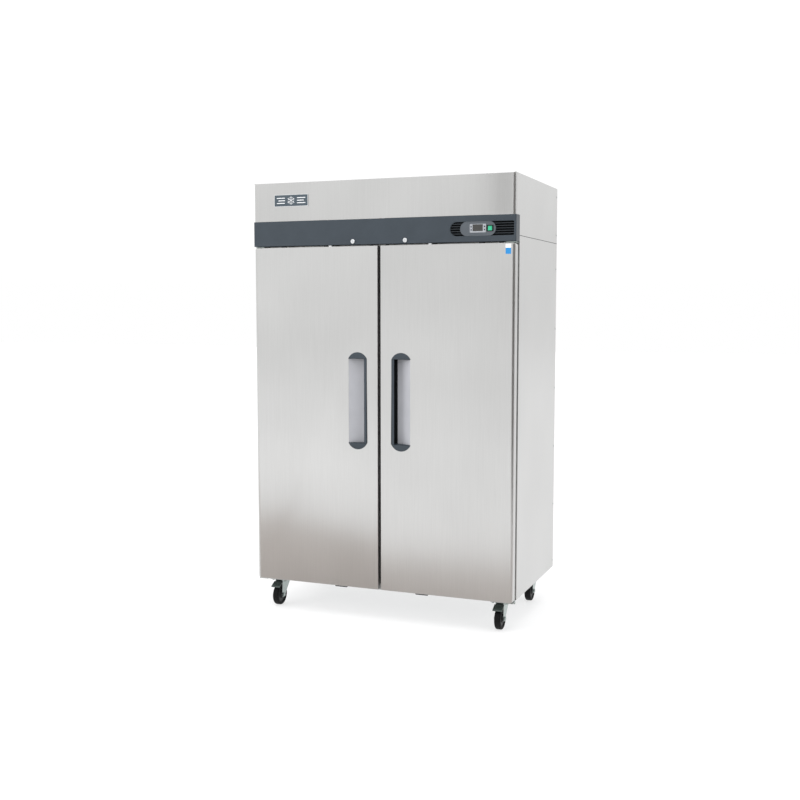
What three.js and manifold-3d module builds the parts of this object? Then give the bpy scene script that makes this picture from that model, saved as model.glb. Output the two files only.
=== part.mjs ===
// A two-door, top-mount reach-in refrigerator on casters, as an assembly of separate pieces.
// Millimetres. +X is to the right of someone facing the doors, +Y goes towards the back, +Z is up.
// The origin is on the floor, under the middle of the object's box.

import * as THREE from 'three';
import * as BufferGeometryUtils from 'three/addons/utils/BufferGeometryUtils.js';
import Module from 'manifold-3d';

const wasm = await Module();
wasm.setup();

// ---------------------------------------------------------------- driving dimensions

const WIDTH = 1314;            // over the side panels
const HEIGHT = 2082;           // floor to the top of the hood
const BODY_DEPTH = 762;        // door faces to back panel
const LOCK_PROUD = 5;          // the lock heads stand this far in front of the doors
const SHEET = 1.5;             // thickness of the sheet-metal panels
const GAP = 0.3;               // clearance between neighbouring pieces

const HALF = WIDTH / 2;
const FRONT = -(BODY_DEPTH + LOCK_PROUD) / 2 + LOCK_PROUD;   // y of the door faces
const BACK = FRONT + BODY_DEPTH;
const INSIDE = HALF - SHEET - GAP;                           // half width between the side panels
const BEND = 15;               // radius of the folded front edges of doors and hood

const FACE = FRONT + 57;       // y of the cabinet's front face, behind the doors
const FACE_DEPTH = 18;         // depth of the frame around the door openings
const CABINET_BOTTOM = 149;
const CABINET_TOP = 1809;      // seam between cabinet and hood
const BASE_BOTTOM = 130;

const FASCIA_BOTTOM = 1781;
const FASCIA_TOP = 1899;

const DOOR_BOTTOM = 147;
const DOOR_TOP = 1774.5;
const DOOR_FREE_EDGE = 6.75;   // distance of a door's free edge from the middle
const DOOR_RETURN = 29;        // depth of the folded edge of a door skin
const DOOR_THICK = 45;         // door without its gasket and inner plug
const PLUG_THICK = 62;         // door with the part that reaches into the opening
const HINGE_X = 637;
const HINGE_Y = FRONT + 22;
const HINGE_PIN = 5;           // radius

const OPENING_X0 = 30;         // door opening, from the mullion ...
const OPENING_X1 = 602;        // ... to the jamb
const OPENING_Z0 = 207;
const OPENING_Z1 = 1748;
const LINER_BACK = FRONT + 706;

const LOCK_X = 131;
const LOCK_Z = 1796;
const CAM_LENGTH = 36;
const CAM_DEPTH = 18;          // from the door face to the front of the cam

const HANDLE_X0 = 62.5;        // pull, from the bar on the free side ...
const HANDLE_X1 = 158;         // ... to the end of its ramp
const HANDLE_BAR = 13.5;
const HANDLE_Z0 = 848;         // straight part, between the end caps
const HANDLE_Z1 = 1247;
const HANDLE_CAP = 31;         // height of the domed end caps
const HANDLE_PROUD = 2;
const POCKET_DEPTH = 42;

const CONTROL_X0 = 396;        // stadium-shaped control plate in the fascia
const CONTROL_X1 = 563.5;
const CONTROL_Z0 = 1807;
const CONTROL_Z1 = 1872;
const LOUVRE_X0 = 352;
const LOUVRE_X1 = 643;

const CASTER_X = 575;
const CASTER_INSET = 114;      // swivel axis from the door faces, or from the back panel
const WHEEL_R = 51;
const WHEEL_W = 31;
const TRAIL = 38;              // swivel axis to wheel axle
const PLATE_BOTTOM = 126;      // underside of the caster plates

const SHELF_LEVELS = [470, 830, 1190];
const SHELF_X0 = 38;
const SHELF_X1 = 590;

// ---------------------------------------------------------------- materials

function finish(color, metalness, roughness) {
  return new THREE.MeshStandardMaterial({ color, metalness, roughness });
}

const stainless = finish(0xcfcfcf, 1.0, 0.35);
const galvanised = finish(0xb4b8ba, 1.0, 0.5);
const greyPlastic = finish(0x505a60, 0.0, 0.5);
const lightPlastic = finish(0xb2b4b9, 0.0, 0.5);
const whitePlastic = finish(0xe8e8e4, 0.0, 0.5);
const foam = finish(0xd9c98c, 0.0, 0.9);
const rubber = finish(0x2b2d2f, 0.0, 0.8);
const tyreBlack = finish(0x17191a, 0.0, 0.7);
const zinc = finish(0xa9aead, 1.0, 0.4);
const blackPaint = finish(0x1b1c1e, 0.2, 0.45);
const fins = finish(0xc3c6c8, 1.0, 0.45);
const greenPlastic = finish(0x1fae84, 0.0, 0.3);
const chrome = finish(0xe4e6e8, 1.0, 0.15);
const shelfCoat = finish(0xe2e4e2, 0.1, 0.45);

// ---------------------------------------------------------------- shape helpers

function solid(geometry) {
  const bare = geometry.clone();
  bare.deleteAttribute('normal');
  bare.deleteAttribute('uv');
  const welded = BufferGeometryUtils.mergeVertices(bare, 1e-4);
  return new wasm.Manifold(new wasm.Mesh({
    numProp: 3,
    vertProperties: Float32Array.from(welded.attributes.position.array),
    triVerts: Uint32Array.from(welded.index.array),
  }));
}

function geometryOf(body) {
  const { vertProperties, triVerts } = body.getMesh();
  const geometry = new THREE.BufferGeometry();
  geometry.setAttribute('position', new THREE.BufferAttribute(vertProperties, 3));
  geometry.setIndex(new THREE.BufferAttribute(triVerts, 1));
  geometry.computeVertexNormals();
  return geometry;
}

function piece(name, body, material) {
  const mesh = new THREE.Mesh(geometryOf(body), material);
  mesh.name = name;
  return mesh;
}

function join(first, ...others) {
  return others.reduce((whole, other) => whole.add(other), first);
}

function cut(first, ...others) {
  return others.reduce((rest, other) => rest.subtract(other), first);
}

// A block between two x, two y and two z values, in either order.
function block(xa, xb, ya, yb, za, zb) {
  const geometry = new THREE.BoxGeometry(Math.abs(xb - xa), Math.abs(yb - ya), Math.abs(zb - za));
  geometry.translate((xa + xb) / 2, (ya + yb) / 2, (za + zb) / 2);
  return solid(geometry);
}

function extrude(shape, length, curveSegments) {
  return new THREE.ExtrudeGeometry(shape, { depth: length, bevelEnabled: false, curveSegments });
}

// Prisms: the outline is drawn in the two other axes, in X, Y, Z order.
function prismX(outline, x0, x1, curveSegments = 6) {
  const geometry = extrude(outline, x1 - x0, curveSegments);
  const turn = new THREE.Matrix4().makeBasis(
    new THREE.Vector3(0, 1, 0), new THREE.Vector3(0, 0, 1), new THREE.Vector3(1, 0, 0));
  geometry.applyMatrix4(turn);
  geometry.translate(x0, 0, 0);
  return solid(geometry);
}

function prismY(outline, y0, y1, curveSegments = 6) {
  const geometry = extrude(outline, y1 - y0, curveSegments);
  geometry.rotateX(Math.PI / 2);
  geometry.translate(0, y1, 0);
  return solid(geometry);
}

function prismZ(outline, z0, z1, curveSegments = 6) {
  const geometry = extrude(outline, z1 - z0, curveSegments);
  geometry.translate(0, 0, z0);
  return solid(geometry);
}

function polygon(points) {
  return new THREE.Shape(points.map(([a, b]) => new THREE.Vector2(a, b)));
}

// A round bar along one axis, between two values on it, through the point (x, y, z).
function rod(axis, radius, from, to, [x, y, z], sides = 16) {
  const geometry = new THREE.CylinderGeometry(radius, radius, to - from, sides);
  geometry.rotateY(Math.PI / sides);
  const middle = (from + to) / 2;
  if (axis === 'x') {
    geometry.rotateZ(Math.PI / 2);
    geometry.translate(middle, y, z);
  } else if (axis === 'y') {
    geometry.translate(x, middle, z);
  } else {
    geometry.rotateX(Math.PI / 2);
    geometry.translate(x, y, middle);
  }
  return solid(geometry);
}

// A turned shape about the Y axis from a closed loop of [radius, height] points.
function turned(loop, sides) {
  const points = loop.map(([radius, height]) => new THREE.Vector2(radius, height));
  return new THREE.LatheGeometry([...points, points[0].clone()], sides);
}

// Plan outline of a box with its front corners rounded.
function roundedFront(x0, x1, y0, y1, r0, r1) {
  const shape = new THREE.Shape();
  shape.moveTo(x0, y1);
  shape.lineTo(x0, y0 + r0);
  shape.absarc(x0 + r0, y0 + r0, r0, Math.PI, 1.5 * Math.PI, false);
  shape.lineTo(x1 - r1, y0);
  shape.absarc(x1 - r1, y0 + r1, r1, 1.5 * Math.PI, 2 * Math.PI, false);
  shape.lineTo(x1, y1);
  return shape;
}

function place(group, x, y, z) {
  group.position.set(x, y, z);
  return group;
}

const sides = [['left', -1], ['right', 1]];

// ---------------------------------------------------------------- cabinet

function sidePanel(name, side) {
  const body = block(side * (HALF - SHEET), side * HALF, FACE, BACK, CABINET_BOTTOM, CABINET_TOP - GAP);
  return piece(`side_panel_${name}`, body, stainless);
}

function backPanel() {
  const body = block(-INSIDE, INSIDE, BACK - SHEET, BACK, CABINET_BOTTOM + SHEET + GAP, CABINET_TOP - GAP);
  return piece('back_panel', body, galvanised);
}

// Bottom sheet, the sunken pan under it, and the four plates that the casters are screwed to.
function basePan() {
  const inset = 21;
  const front = FRONT + 66;
  const back = BACK - 17;
  const sheet = block(-INSIDE, INSIDE, FACE, BACK, CABINET_BOTTOM, CABINET_BOTTOM + SHEET);
  const pan = block(-HALF + inset, HALF - inset, front, back, BASE_BOTTOM, CABINET_BOTTOM + 1);
  const hollow = block(-HALF + inset + SHEET, HALF - inset - SHEET, front + SHEET, back - SHEET,
    BASE_BOTTOM + SHEET, CABINET_BOTTOM + SHEET + 1);
  let body = cut(join(sheet, pan), hollow);
  for (const [x, y] of casterSpots()) {
    body = body.add(block(x - 45, x + 45, y - 48, y + 48, PLATE_BOTTOM, BASE_BOTTOM + 1));
    body = body.subtract(rod('z', 6.8, PLATE_BOTTOM - 1, BASE_BOTTOM - 1, [x, y, 0], 12));
  }
  return piece('base_pan', body, galvanised);
}

function topDeck() {
  const body = block(-INSIDE, INSIDE, FACE, BACK - SHEET - GAP, CABINET_TOP - GAP - SHEET, CABINET_TOP - GAP);
  return piece('top_deck', body, galvanised);
}

// Foam between the outer panels and the liner.
function insulation() {
  const front = FACE + FACE_DEPTH + GAP;
  const wall = SHEET + 2 * GAP;
  const outer = block(-INSIDE, INSIDE, front, BACK - SHEET - GAP,
    CABINET_BOTTOM + SHEET + GAP, CABINET_TOP - SHEET - 2 * GAP);
  const cavity = block(-OPENING_X1 - wall, OPENING_X1 + wall, front - 1, LINER_BACK + wall,
    OPENING_Z0 - wall, OPENING_Z1 + wall);
  return piece('insulation', cut(outer, cavity), foam);
}

// Food-compartment lining, with the upright strips that carry the shelf clips.
function innerLiner() {
  const front = FACE + FACE_DEPTH + 2 * GAP;
  const shell = cut(
    block(-OPENING_X1 - SHEET, OPENING_X1 + SHEET, front, LINER_BACK + SHEET,
      OPENING_Z0 - SHEET, OPENING_Z1 + SHEET),
    block(-OPENING_X1, OPENING_X1, front - 1, LINER_BACK, OPENING_Z0, OPENING_Z1));
  const strips = [];
  for (const [, side] of sides) {
    for (const y of [FRONT + 130, FRONT + 620]) {
      strips.push(block(side * (OPENING_X1 - 9), side * (OPENING_X1 + 1), y, y + 20, 260, 1500));
    }
    strips.push(block(side * 12, side * 32, LINER_BACK - 9, LINER_BACK + 1, 260, 1500));
  }
  return piece('inner_liner', join(shell, ...strips), stainless);
}

// Frame around the two door openings, with the mullion between them.
function faceFrame() {
  const plate = block(-INSIDE, INSIDE, FACE, FACE + FACE_DEPTH,
    CABINET_BOTTOM + SHEET + GAP, CABINET_TOP - SHEET - 2 * GAP);
  const openings = sides.map(([, side]) => block(side * OPENING_X0, side * OPENING_X1,
    FACE - 1, FACE + FACE_DEPTH + 1, OPENING_Z0, OPENING_Z1));
  const post = block(-OPENING_X0, OPENING_X0, FACE, FACE + 45, OPENING_Z0 + 1, OPENING_Z1 - 1);
  return piece('face_frame', join(cut(plate, ...openings), post), stainless);
}

// ---------------------------------------------------------------- hood and fascia

function hoodFront() {
  const bottom = FASCIA_TOP + GAP;
  const outer = prismZ(roundedFront(-HALF, HALF, FRONT, FRONT + 20, BEND, BEND), bottom, HEIGHT);
  const inner = prismZ(roundedFront(-HALF + SHEET, HALF - SHEET, FRONT + SHEET, FRONT + 21,
    BEND - SHEET, BEND - SHEET), bottom - 1, HEIGHT - SHEET);
  return piece('hood_front', cut(outer, inner), stainless);
}

function hoodSide(name, side) {
  const front = FRONT + 20 + GAP;
  const outline = polygon([
    [FACE + GAP, CABINET_TOP], [BACK, CABINET_TOP], [BACK, HEIGHT],
    [front, HEIGHT], [front, FASCIA_TOP + GAP], [FACE + GAP, FASCIA_TOP + GAP],
  ]);
  const x0 = side > 0 ? HALF - SHEET : -HALF;
  const sheet = prismX(outline, x0, x0 + SHEET);
  const topLip = block(side * (HALF - 20), side * (HALF - 1), front, BACK, HEIGHT - SHEET, HEIGHT);
  const backLip = block(side * (HALF - 25), side * (HALF - 1), BACK - SHEET, BACK, CABINET_TOP, HEIGHT);
  return piece(`hood_side_${name}`, join(sheet, topLip, backLip), stainless);
}

function stadium(x0, x1, z0, z1) {
  const r = (z1 - z0) / 2;
  const zc = (z0 + z1) / 2;
  const shape = new THREE.Shape();
  shape.absarc(x1 - r, zc, r, -Math.PI / 2, Math.PI / 2, false);
  shape.absarc(x0 + r, zc, r, Math.PI / 2, 1.5 * Math.PI, false);
  return shape;
}

// Moulded control strip, open at the back, with air slots beside the control plate.
function controlFascia() {
  const wall = 2.5;
  const outer = prismZ(roundedFront(-HALF, HALF, FRONT, FACE, 4, 4), FASCIA_BOTTOM, FASCIA_TOP);
  const hollow = block(-HALF + wall, HALF - wall, FRONT + wall, FACE + 1,
    FASCIA_BOTTOM + wall, FASCIA_TOP - wall);
  let body = cut(outer, hollow);
  body = body.subtract(block(-HALF + wall, HALF - wall, FACE - 5, FACE + 1,
    FASCIA_BOTTOM - 1, FASCIA_BOTTOM + wall + 1));
  body = body.subtract(prismY(stadium(CONTROL_X0, CONTROL_X1, CONTROL_Z0, CONTROL_Z1),
    FRONT - 1, FRONT + wall + 1, 8));
  const pitch = 11;
  for (let row = 0; row < 6; row += 1) {
    const z = 1809 + row * pitch;
    body = body.subtract(block(LOUVRE_X0, CONTROL_X0 - 4, FRONT - 1, FRONT + wall + 1, z, z + 6));
    body = body.subtract(block(CONTROL_X1 + 4, LOUVRE_X1, FRONT - 1, FRONT + wall + 1, z, z + 6));
  }
  for (const [, side] of sides) {
    body = body.subtract(rod('y', 9.6, FRONT - 1, FRONT + wall + 1, [side * LOCK_X, 0, LOCK_Z], 16));
    body = body.subtract(block(side * (LOCK_X - 9), side * (LOCK_X + 37),
      FRONT + CAM_DEPTH - 2, FRONT + CAM_DEPTH + 5, FASCIA_BOTTOM - 1, FASCIA_BOTTOM + wall + 1));
  }
  return piece('control_fascia', body, greyPlastic);
}

const DISPLAY = { x0: 442, x1: 518, z0: 1822, z1: 1860 };
const KEY_Z = [1834, 1848];
const KEY_X = [448.5, 511.5];
const KEY_R = 3;
const ROCKER = { x: 535.75, z: 1840, width: 19.5, height: 22 };

// Control plate with its housing behind, holes for the four keys and a bay for the rocker.
function temperatureController() {
  const plate = prismY(stadium(CONTROL_X0 + GAP, CONTROL_X1 - GAP, CONTROL_Z0 + GAP, CONTROL_Z1 - GAP),
    FRONT + 0.5, FRONT + 3, 8);
  const housing = block(DISPLAY.x0 + 2, ROCKER.x + 15, FRONT + 2, FRONT + 48, 1818, 1862);
  const frame = block(DISPLAY.x0, DISPLAY.x1, FRONT - 1, FRONT + 2, DISPLAY.z0, DISPLAY.z1);
  const glass = block(455, 503, FRONT - 2, FRONT + 0.5, DISPLAY.z0 + 6, DISPLAY.z1 - 2);
  let body = cut(join(plate, housing, frame), glass);
  for (const x of KEY_X) {
    for (const z of KEY_Z) {
      body = body.subtract(rod('y', KEY_R + 0.5, FRONT - 2, FRONT + 8, [x, 0, z], 12));
    }
  }
  body = body.subtract(block(ROCKER.x - ROCKER.width / 2 - 0.6, ROCKER.x + ROCKER.width / 2 + 0.6,
    FRONT - 2, FRONT + 14, ROCKER.z - ROCKER.height / 2 - 1, ROCKER.z + ROCKER.height / 2 + 1));
  return piece('temperature_controller', body, lightPlastic);
}

function controllerKeys() {
  const group = new THREE.Group();
  const names = ['set', 'up', 'defrost', 'down'];
  KEY_X.forEach((x, column) => KEY_Z.forEach((z, row) => {
    const key = piece(`key_${names[column * 2 + row]}`,
      rod('y', KEY_R, -0.5, 5, [0, 0, 0], 12), greyPlastic);
    group.add(place(key, x, FRONT - 1, z));
  }));
  return group;
}

// The rocker leans in its bay with its upper end pressed in.
function rockerSwitch() {
  const wing = ROCKER.height / 2 - 0.6;
  const outline = polygon([[-2.5, -wing], [-1.2, 0], [-2.5, wing], [3, wing * 0.75], [7, 0], [3, -wing * 0.75]]);
  const width = ROCKER.width / 2;
  const rocker = piece('rocker_switch', prismX(outline, -width, width), greenPlastic);
  rocker.rotation.x = THREE.MathUtils.degToRad(-7);
  return place(rocker, ROCKER.x, FRONT + 2, ROCKER.z);
}

// Key-operated plug: round head, barrel and the cam that drops into the door's top edge.
function lockPlug(name, side) {
  const head = rod('y', 10.5, -LOCK_PROUD, -GAP, [0, 0, 0], 16);
  const barrel = rod('y', 9, -GAP - 0.1, CAM_DEPTH + 0.1, [0, 0, 0], 16);
  const cam = block(-side * 7, side * CAM_LENGTH, CAM_DEPTH, CAM_DEPTH + 3, -7, 7);
  const plug = piece(`lock_plug_${name}`, join(head, barrel, cam), chrome);
  return place(plug, side * LOCK_X, FRONT, LOCK_Z);
}

// ---------------------------------------------------------------- cooling unit

function compressor() {
  const shell = turned([[0, 0], [70, 0], [92, 22], [98, 70], [98, 100], [88, 150], [55, 178], [0, 184]], 20);
  shell.rotateX(Math.PI / 2);
  shell.scale(1.15, 1, 1);
  shell.translate(0, 0, 18);
  const foot = block(-115, 115, -85, 85, 12, 20);
  const feet = [-1, 1].flatMap((sx) => [-1, 1].map((sy) =>
    rod('z', 14, 0, 13, [sx * 92, sy * 62, 0], 10)));
  const terminals = block(80, 128, -30, 30, 70, 140);
  const body = join(solid(shell), foot, terminals, ...feet);
  return place(piece('compressor', body, blackPaint), -60, FRONT + 500, CABINET_TOP);
}

const CONDENSER = { x: 270, y: FRONT + 150, width: 400, deep: 50, height: 225 };
const FAN_Z = CABINET_TOP + 118;

function condenser() {
  const { width, deep, height } = CONDENSER;
  const core = block(-width / 2, width / 2, 6, deep - 6, 3, height - 3);
  const ends = [-1, 1].map((s) => block(s * width / 2, s * (width / 2 + 3), 0, deep, 0, height));
  const rows = [];
  for (let row = 0; row < 5; row += 1) {
    rows.push(block(-width / 2 - 14, width / 2 + 14, 18, 32, 22 + row * 42, 36 + row * 42));
  }
  const body = join(core, ...ends, ...rows);
  return place(piece('condenser', body, fins), CONDENSER.x, CONDENSER.y, CABINET_TOP);
}

// Sheet behind the condenser with a round opening; four arms hold the motor behind the fan.
function fanShroud() {
  const half = 150;
  const sheet = block(-half, half, 0, 2, -116, 107);
  const ring = cut(rod('y', 109, 0, 14, [0, 0, 0], 24), rod('y', 104, -1, 15, [0, 0, 0], 24));
  const hole = rod('y', 104, -1, 3, [0, 0, 0], 24);
  const motor = rod('y', 38, 52, 105, [0, 0, 0], 16);
  const arms = [];
  for (const turn of [45, 135, 225, 315]) {
    const leg = join(block(110, 116, 1, 84, -6, 6), block(30, 115, 80, 84, -6, 6));
    arms.push(leg.rotate([0, turn, 0]));
  }
  const body = join(cut(join(sheet, ring), hole), motor, ...arms);
  return place(piece('fan_shroud', body, galvanised), CONDENSER.x, CONDENSER.y + CONDENSER.deep + 4, FAN_Z);
}

// Axial fan about the Y axis: hub and pitched blades.
function fan(name, radius, hub, blades, deep, material) {
  let body = rod('y', hub, 0, deep, [0, 0, 0], 16);
  for (let n = 0; n < blades; n += 1) {
    const blade = block(hub - 3, radius, -1, 1, -radius * 0.26, radius * 0.26);
    const pitched = blade.rotate([28, 0, 0]).translate([0, deep / 2, 0]);
    body = body.add(pitched.rotate([0, 360 * n / blades, 0]));
  }
  return piece(name, body, material);
}

function electricalBox() {
  const box = block(-85, 85, -70, 70, 0, 120);
  const lid = block(-88, 88, -73, 73, 120, 126);
  const collar = block(-18, 18, 69, 78, 34, 62);
  const socket = block(-13, 13, 66, 80, 39, 57);
  const body = cut(join(box, lid, collar), socket);
  return place(piece('electrical_box', body, galvanised), -470, FRONT + 640, CABINET_TOP);
}

const EVAPORATOR = { y: FRONT + 470, halfWidth: 300, fanX: 165, fanZ: 1672 };

function evaporator() {
  const { y, halfWidth, fanX, fanZ } = EVAPORATOR;
  const core = block(-halfWidth, halfWidth, y, y + 160, 1606, 1738);
  const ends = [-1, 1].map((s) => block(s * halfWidth, s * (halfWidth + 3), y - 4, y + 164, 1602, 1742));
  const motors = [-1, 1].map((s) => rod('y', 22, y - 34, y + 1, [s * fanX, 0, fanZ], 16));
  return piece('evaporator', join(core, ...ends, ...motors), fins);
}

function evaporatorCover() {
  const top = OPENING_Z1 - GAP;
  const front = FRONT + 400;
  const outer = block(-345, 345, front, FRONT + 690, 1584, top);
  const hollow = block(-345 + SHEET, 345 - SHEET, front + SHEET, FRONT + 690 - SHEET, 1584 + SHEET, top + 1);
  let body = cut(outer, hollow);
  for (const s of [-1, 1]) {
    body = body.subtract(rod('y', 66, front - 1, front + 2, [s * EVAPORATOR.fanX, 0, EVAPORATOR.fanZ], 24));
    for (let n = 0; n < 5; n += 1) {
      const y = FRONT + 520 + n * 30;
      body = body.subtract(block(s * 30, s * 300, y, y + 12, 1580, 1588));
    }
  }
  return piece('evaporator_cover', body, whitePlastic);
}

function ledLight() {
  const outline = polygon([[-14, 0], [-14, -9], [-7, -17], [7, -17], [14, -9], [14, 0]]);
  const body = prismX(outline, -260, 260);
  return place(piece('led_light', body, whitePlastic), 0, FRONT + 215, OPENING_Z1 - GAP);
}

// ---------------------------------------------------------------- hinges

// Brackets in the gaps above and below each door, each with a pin on the door's axis.
function hingeBracket(level, name, side) {
  const inner = 607;
  const outer = HALF - 4;
  const high = level === 'top';
  const z0 = high ? DOOR_TOP + 1.2 : DOOR_BOTTOM - 5.2;
  const plate = block(side * inner, side * outer, FRONT + 11, FACE - GAP, z0, z0 + 4);
  const legZ = high ? [z0, FASCIA_BOTTOM + 22] : [BASE_BOTTOM + 1, z0 + 4];
  const leg = block(side * inner, side * outer, FACE - 4, FACE - GAP, legZ[0], legZ[1]);
  const pinZ = high ? [DOOR_TOP - 12, z0 + 1] : [z0 + 3, DOOR_BOTTOM + 12];
  const pin = rod('z', HINGE_PIN, pinZ[0], pinZ[1], [side * HINGE_X, HINGE_Y, 0], 16);
  return piece(`hinge_bracket_${level}_${name}`, join(plate, leg, pin), zinc);
}

// ---------------------------------------------------------------- doors

// A door is built around its hinge axis; `across` is measured from the middle of the cabinet.
function doorGroup(name, side) {
  const group = new THREE.Group();
  const across = (a) => side * (a - HINGE_X);
  const depth = (d) => FRONT + d - HINGE_Y;
  const up = (z) => z - DOOR_BOTTOM;
  const slab = (a0, a1, d0, d1, z0, z1) =>
    block(across(a0), across(a1), depth(d0), depth(d1), up(z0), up(z1));
  const ends = [across(DOOR_FREE_EDGE), across(HALF)];
  const x0 = Math.min(...ends);
  const x1 = Math.max(...ends);
  const radii = side > 0 ? [4, BEND] : [BEND, 4];
  const top = DOOR_TOP;
  const bottom = DOOR_BOTTOM;

  const lockSlot = () => slab(LOCK_X - 9, LOCK_X + 34, CAM_DEPTH - 2, CAM_DEPTH + 5, top - 18, top + 1);
  const pinHoles = () => join(
    rod('z', HINGE_PIN + 0.6, up(bottom) - 1, up(bottom) + 14, [0, 0, 0], 16),
    rod('z', HINGE_PIN + 0.6, up(top) - 14, up(top) + 1, [0, 0, 0], 16));
  const pocketHole = (d0, d1, room) => slab(HANDLE_X0 + 1 - room, HANDLE_X1 + GAP + room, d0, d1,
    HANDLE_Z0 - 7 - room, HANDLE_Z1 + 7 + room);

  // Outer skin: a shallow stainless pan, open at the back.
  const pan = prismZ(roundedFront(x0, x1, depth(0), depth(DOOR_RETURN), ...radii), up(bottom), up(top));
  const inside = prismZ(roundedFront(x0 + SHEET, x1 - SHEET, depth(SHEET), depth(DOOR_RETURN + 1),
    radii[0] - SHEET, radii[1] - SHEET), up(bottom) + SHEET, up(top) - SHEET);
  const skin = cut(pan, inside, pocketHole(-1, SHEET + 1, 0), lockSlot(), pinHoles());
  group.add(piece(`door_skin_${name}`, skin, stainless));

  // Foamed inner door with the raised plug that reaches into the opening.
  const fillRadii = side > 0 ? [2, BEND - 6] : [BEND - 6, 2];
  const fill = prismZ(roundedFront(x0 + 6, x1 - 6, depth(SHEET + GAP), depth(DOOR_THICK), ...fillRadii),
    up(bottom) + 6, up(top) - 6, 3);
  const plug = slab(OPENING_X0 + 12, OPENING_X1 - 12, DOOR_THICK - 1, PLUG_THICK,
    OPENING_Z0 + 10, OPENING_Z1 - 14);
  const liner = cut(join(fill, plug), pocketHole(0, POCKET_DEPTH + 3, 2), lockSlot(), pinHoles());
  group.add(piece(`door_liner_${name}`, liner, whitePlastic));

  // Magnetic gasket: a ring that meets the face frame.
  const band = 24;
  const seal = [12, 632, bottom + 13, top - 10.5];
  const ring = cut(
    slab(seal[0], seal[1], DOOR_THICK + GAP, 57 - GAP, seal[2], seal[3]),
    slab(seal[0] + band, seal[1] - band, DOOR_THICK, 57, seal[2] + band, seal[3] - band));
  group.add(piece(`door_gasket_${name}`, ring, rubber));

  // Cross-section of the pull's hollow: flat under the bar, then a ramp out to the door face.
  const rampStart = HANDLE_X0 + HANDLE_BAR + 2;
  const steps = 6;
  const rampDepth = (a, deep) => deep * Math.cos((Math.PI / 2) * (a - rampStart) / (HANDLE_X1 - rampStart));
  const ramp = (deep, out) => Array.from({ length: steps + 1 }, (_, n) => {
    const a = rampStart + (HANDLE_X1 - rampStart) * n / steps;
    return [across(a + out * n / steps), depth(Math.max(rampDepth(a, deep), 0))];
  });
  const wall = HANDLE_X0 + 1.5;
  const lip = HANDLE_X1 - 2;

  // Satin ramp sheet: it starts behind the bar, and its last step ends at the door face.
  const near = ramp(POCKET_DEPTH - SHEET, -2);
  const far = ramp(POCKET_DEPTH, 0);
  const trough = polygon([
    [across(wall), depth(9)], [across(wall + SHEET), depth(9)],
    [across(wall + SHEET), depth(POCKET_DEPTH - SHEET)], ...near,
    ...far.reverse(), [across(wall), depth(POCKET_DEPTH)],
  ]);
  const pocket = prismZ(trough, up(HANDLE_Z0 + GAP), up(HANDLE_Z1 - GAP));
  group.add(piece(`handle_pocket_${name}`, pocket, fins));

  // Bezel: bar, two domed caps, and the end walls that close the hollow.
  const cap = (z, dir) => {
    const half = (HANDLE_X1 - HANDLE_X0) / 2;
    const radius = (half * half + HANDLE_CAP * HANDLE_CAP) / (2 * HANDLE_CAP);
    const swing = Math.asin(half / radius);
    const arc = Array.from({ length: 11 }, (_, n) => {
      const angle = -swing + 2 * swing * n / 10;
      return [across((HANDLE_X0 + HANDLE_X1) / 2 + radius * Math.sin(angle)),
        up(z) + dir * (radius * Math.cos(angle) - radius + HANDLE_CAP)];
    });
    return prismY(polygon(arc), depth(-HANDLE_PROUD), depth(-GAP));
  };
  const endOutline = polygon([
    [across(wall), depth(-1)], [across(wall), depth(POCKET_DEPTH - 1)],
    ...ramp(POCKET_DEPTH - 1, 0), [across(lip), depth(-1)],
  ]);
  const bezel = join(
    slab(HANDLE_X0, HANDLE_X0 + HANDLE_BAR, -HANDLE_PROUD, -GAP, HANDLE_Z0 - 1, HANDLE_Z1 + 1),
    slab(wall, HANDLE_X0 + HANDLE_BAR, -1, 8, HANDLE_Z0 - 6, HANDLE_Z1 + 6),
    cap(HANDLE_Z1, 1), cap(HANDLE_Z0, -1),
    prismZ(endOutline, up(HANDLE_Z1), up(HANDLE_Z1 + 6)),
    prismZ(endOutline, up(HANDLE_Z0 - 6), up(HANDLE_Z0)));
  group.add(piece(`handle_bezel_${name}`, bezel, greyPlastic));

  return place(group, side * HINGE_X, HINGE_Y, DOOR_BOTTOM);
}

// ---------------------------------------------------------------- shelves

function shelf(name, side, z) {
  const y0 = FRONT + 116;
  const y1 = FRONT + 690;
  const mid = side * (SHELF_X0 + SHELF_X1) / 2;
  const halfX = (SHELF_X1 - SHELF_X0) / 2;
  let body = block(-halfX, halfX, y0, y1, 0, 8);
  const slots = 10;
  const pitch = (2 * halfX - 20) / slots;
  for (let n = 0; n < slots; n += 1) {
    const x = -halfX + 10 + n * pitch;
    body = body.subtract(block(x + 5, x + pitch - 5, y0 + 14, y1 - 14, -1, 9));
  }
  return place(piece(name, body, shelfCoat), mid, 0, z);
}

// ---------------------------------------------------------------- casters

function casterSpots() {
  return [FRONT + CASTER_INSET, BACK - CASTER_INSET].flatMap((y) => [[-CASTER_X, y], [CASTER_X, y]]);
}

const CROWN = 110;             // underside of the fork's crown
const CROWN_FRONT = -47;       // its front edge stays behind the pedal when that is pressed
const LEG_INSIDE = WHEEL_W / 2 + 2;
const PEDAL_Y = -38;
const PEDAL_Z = 119;

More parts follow.
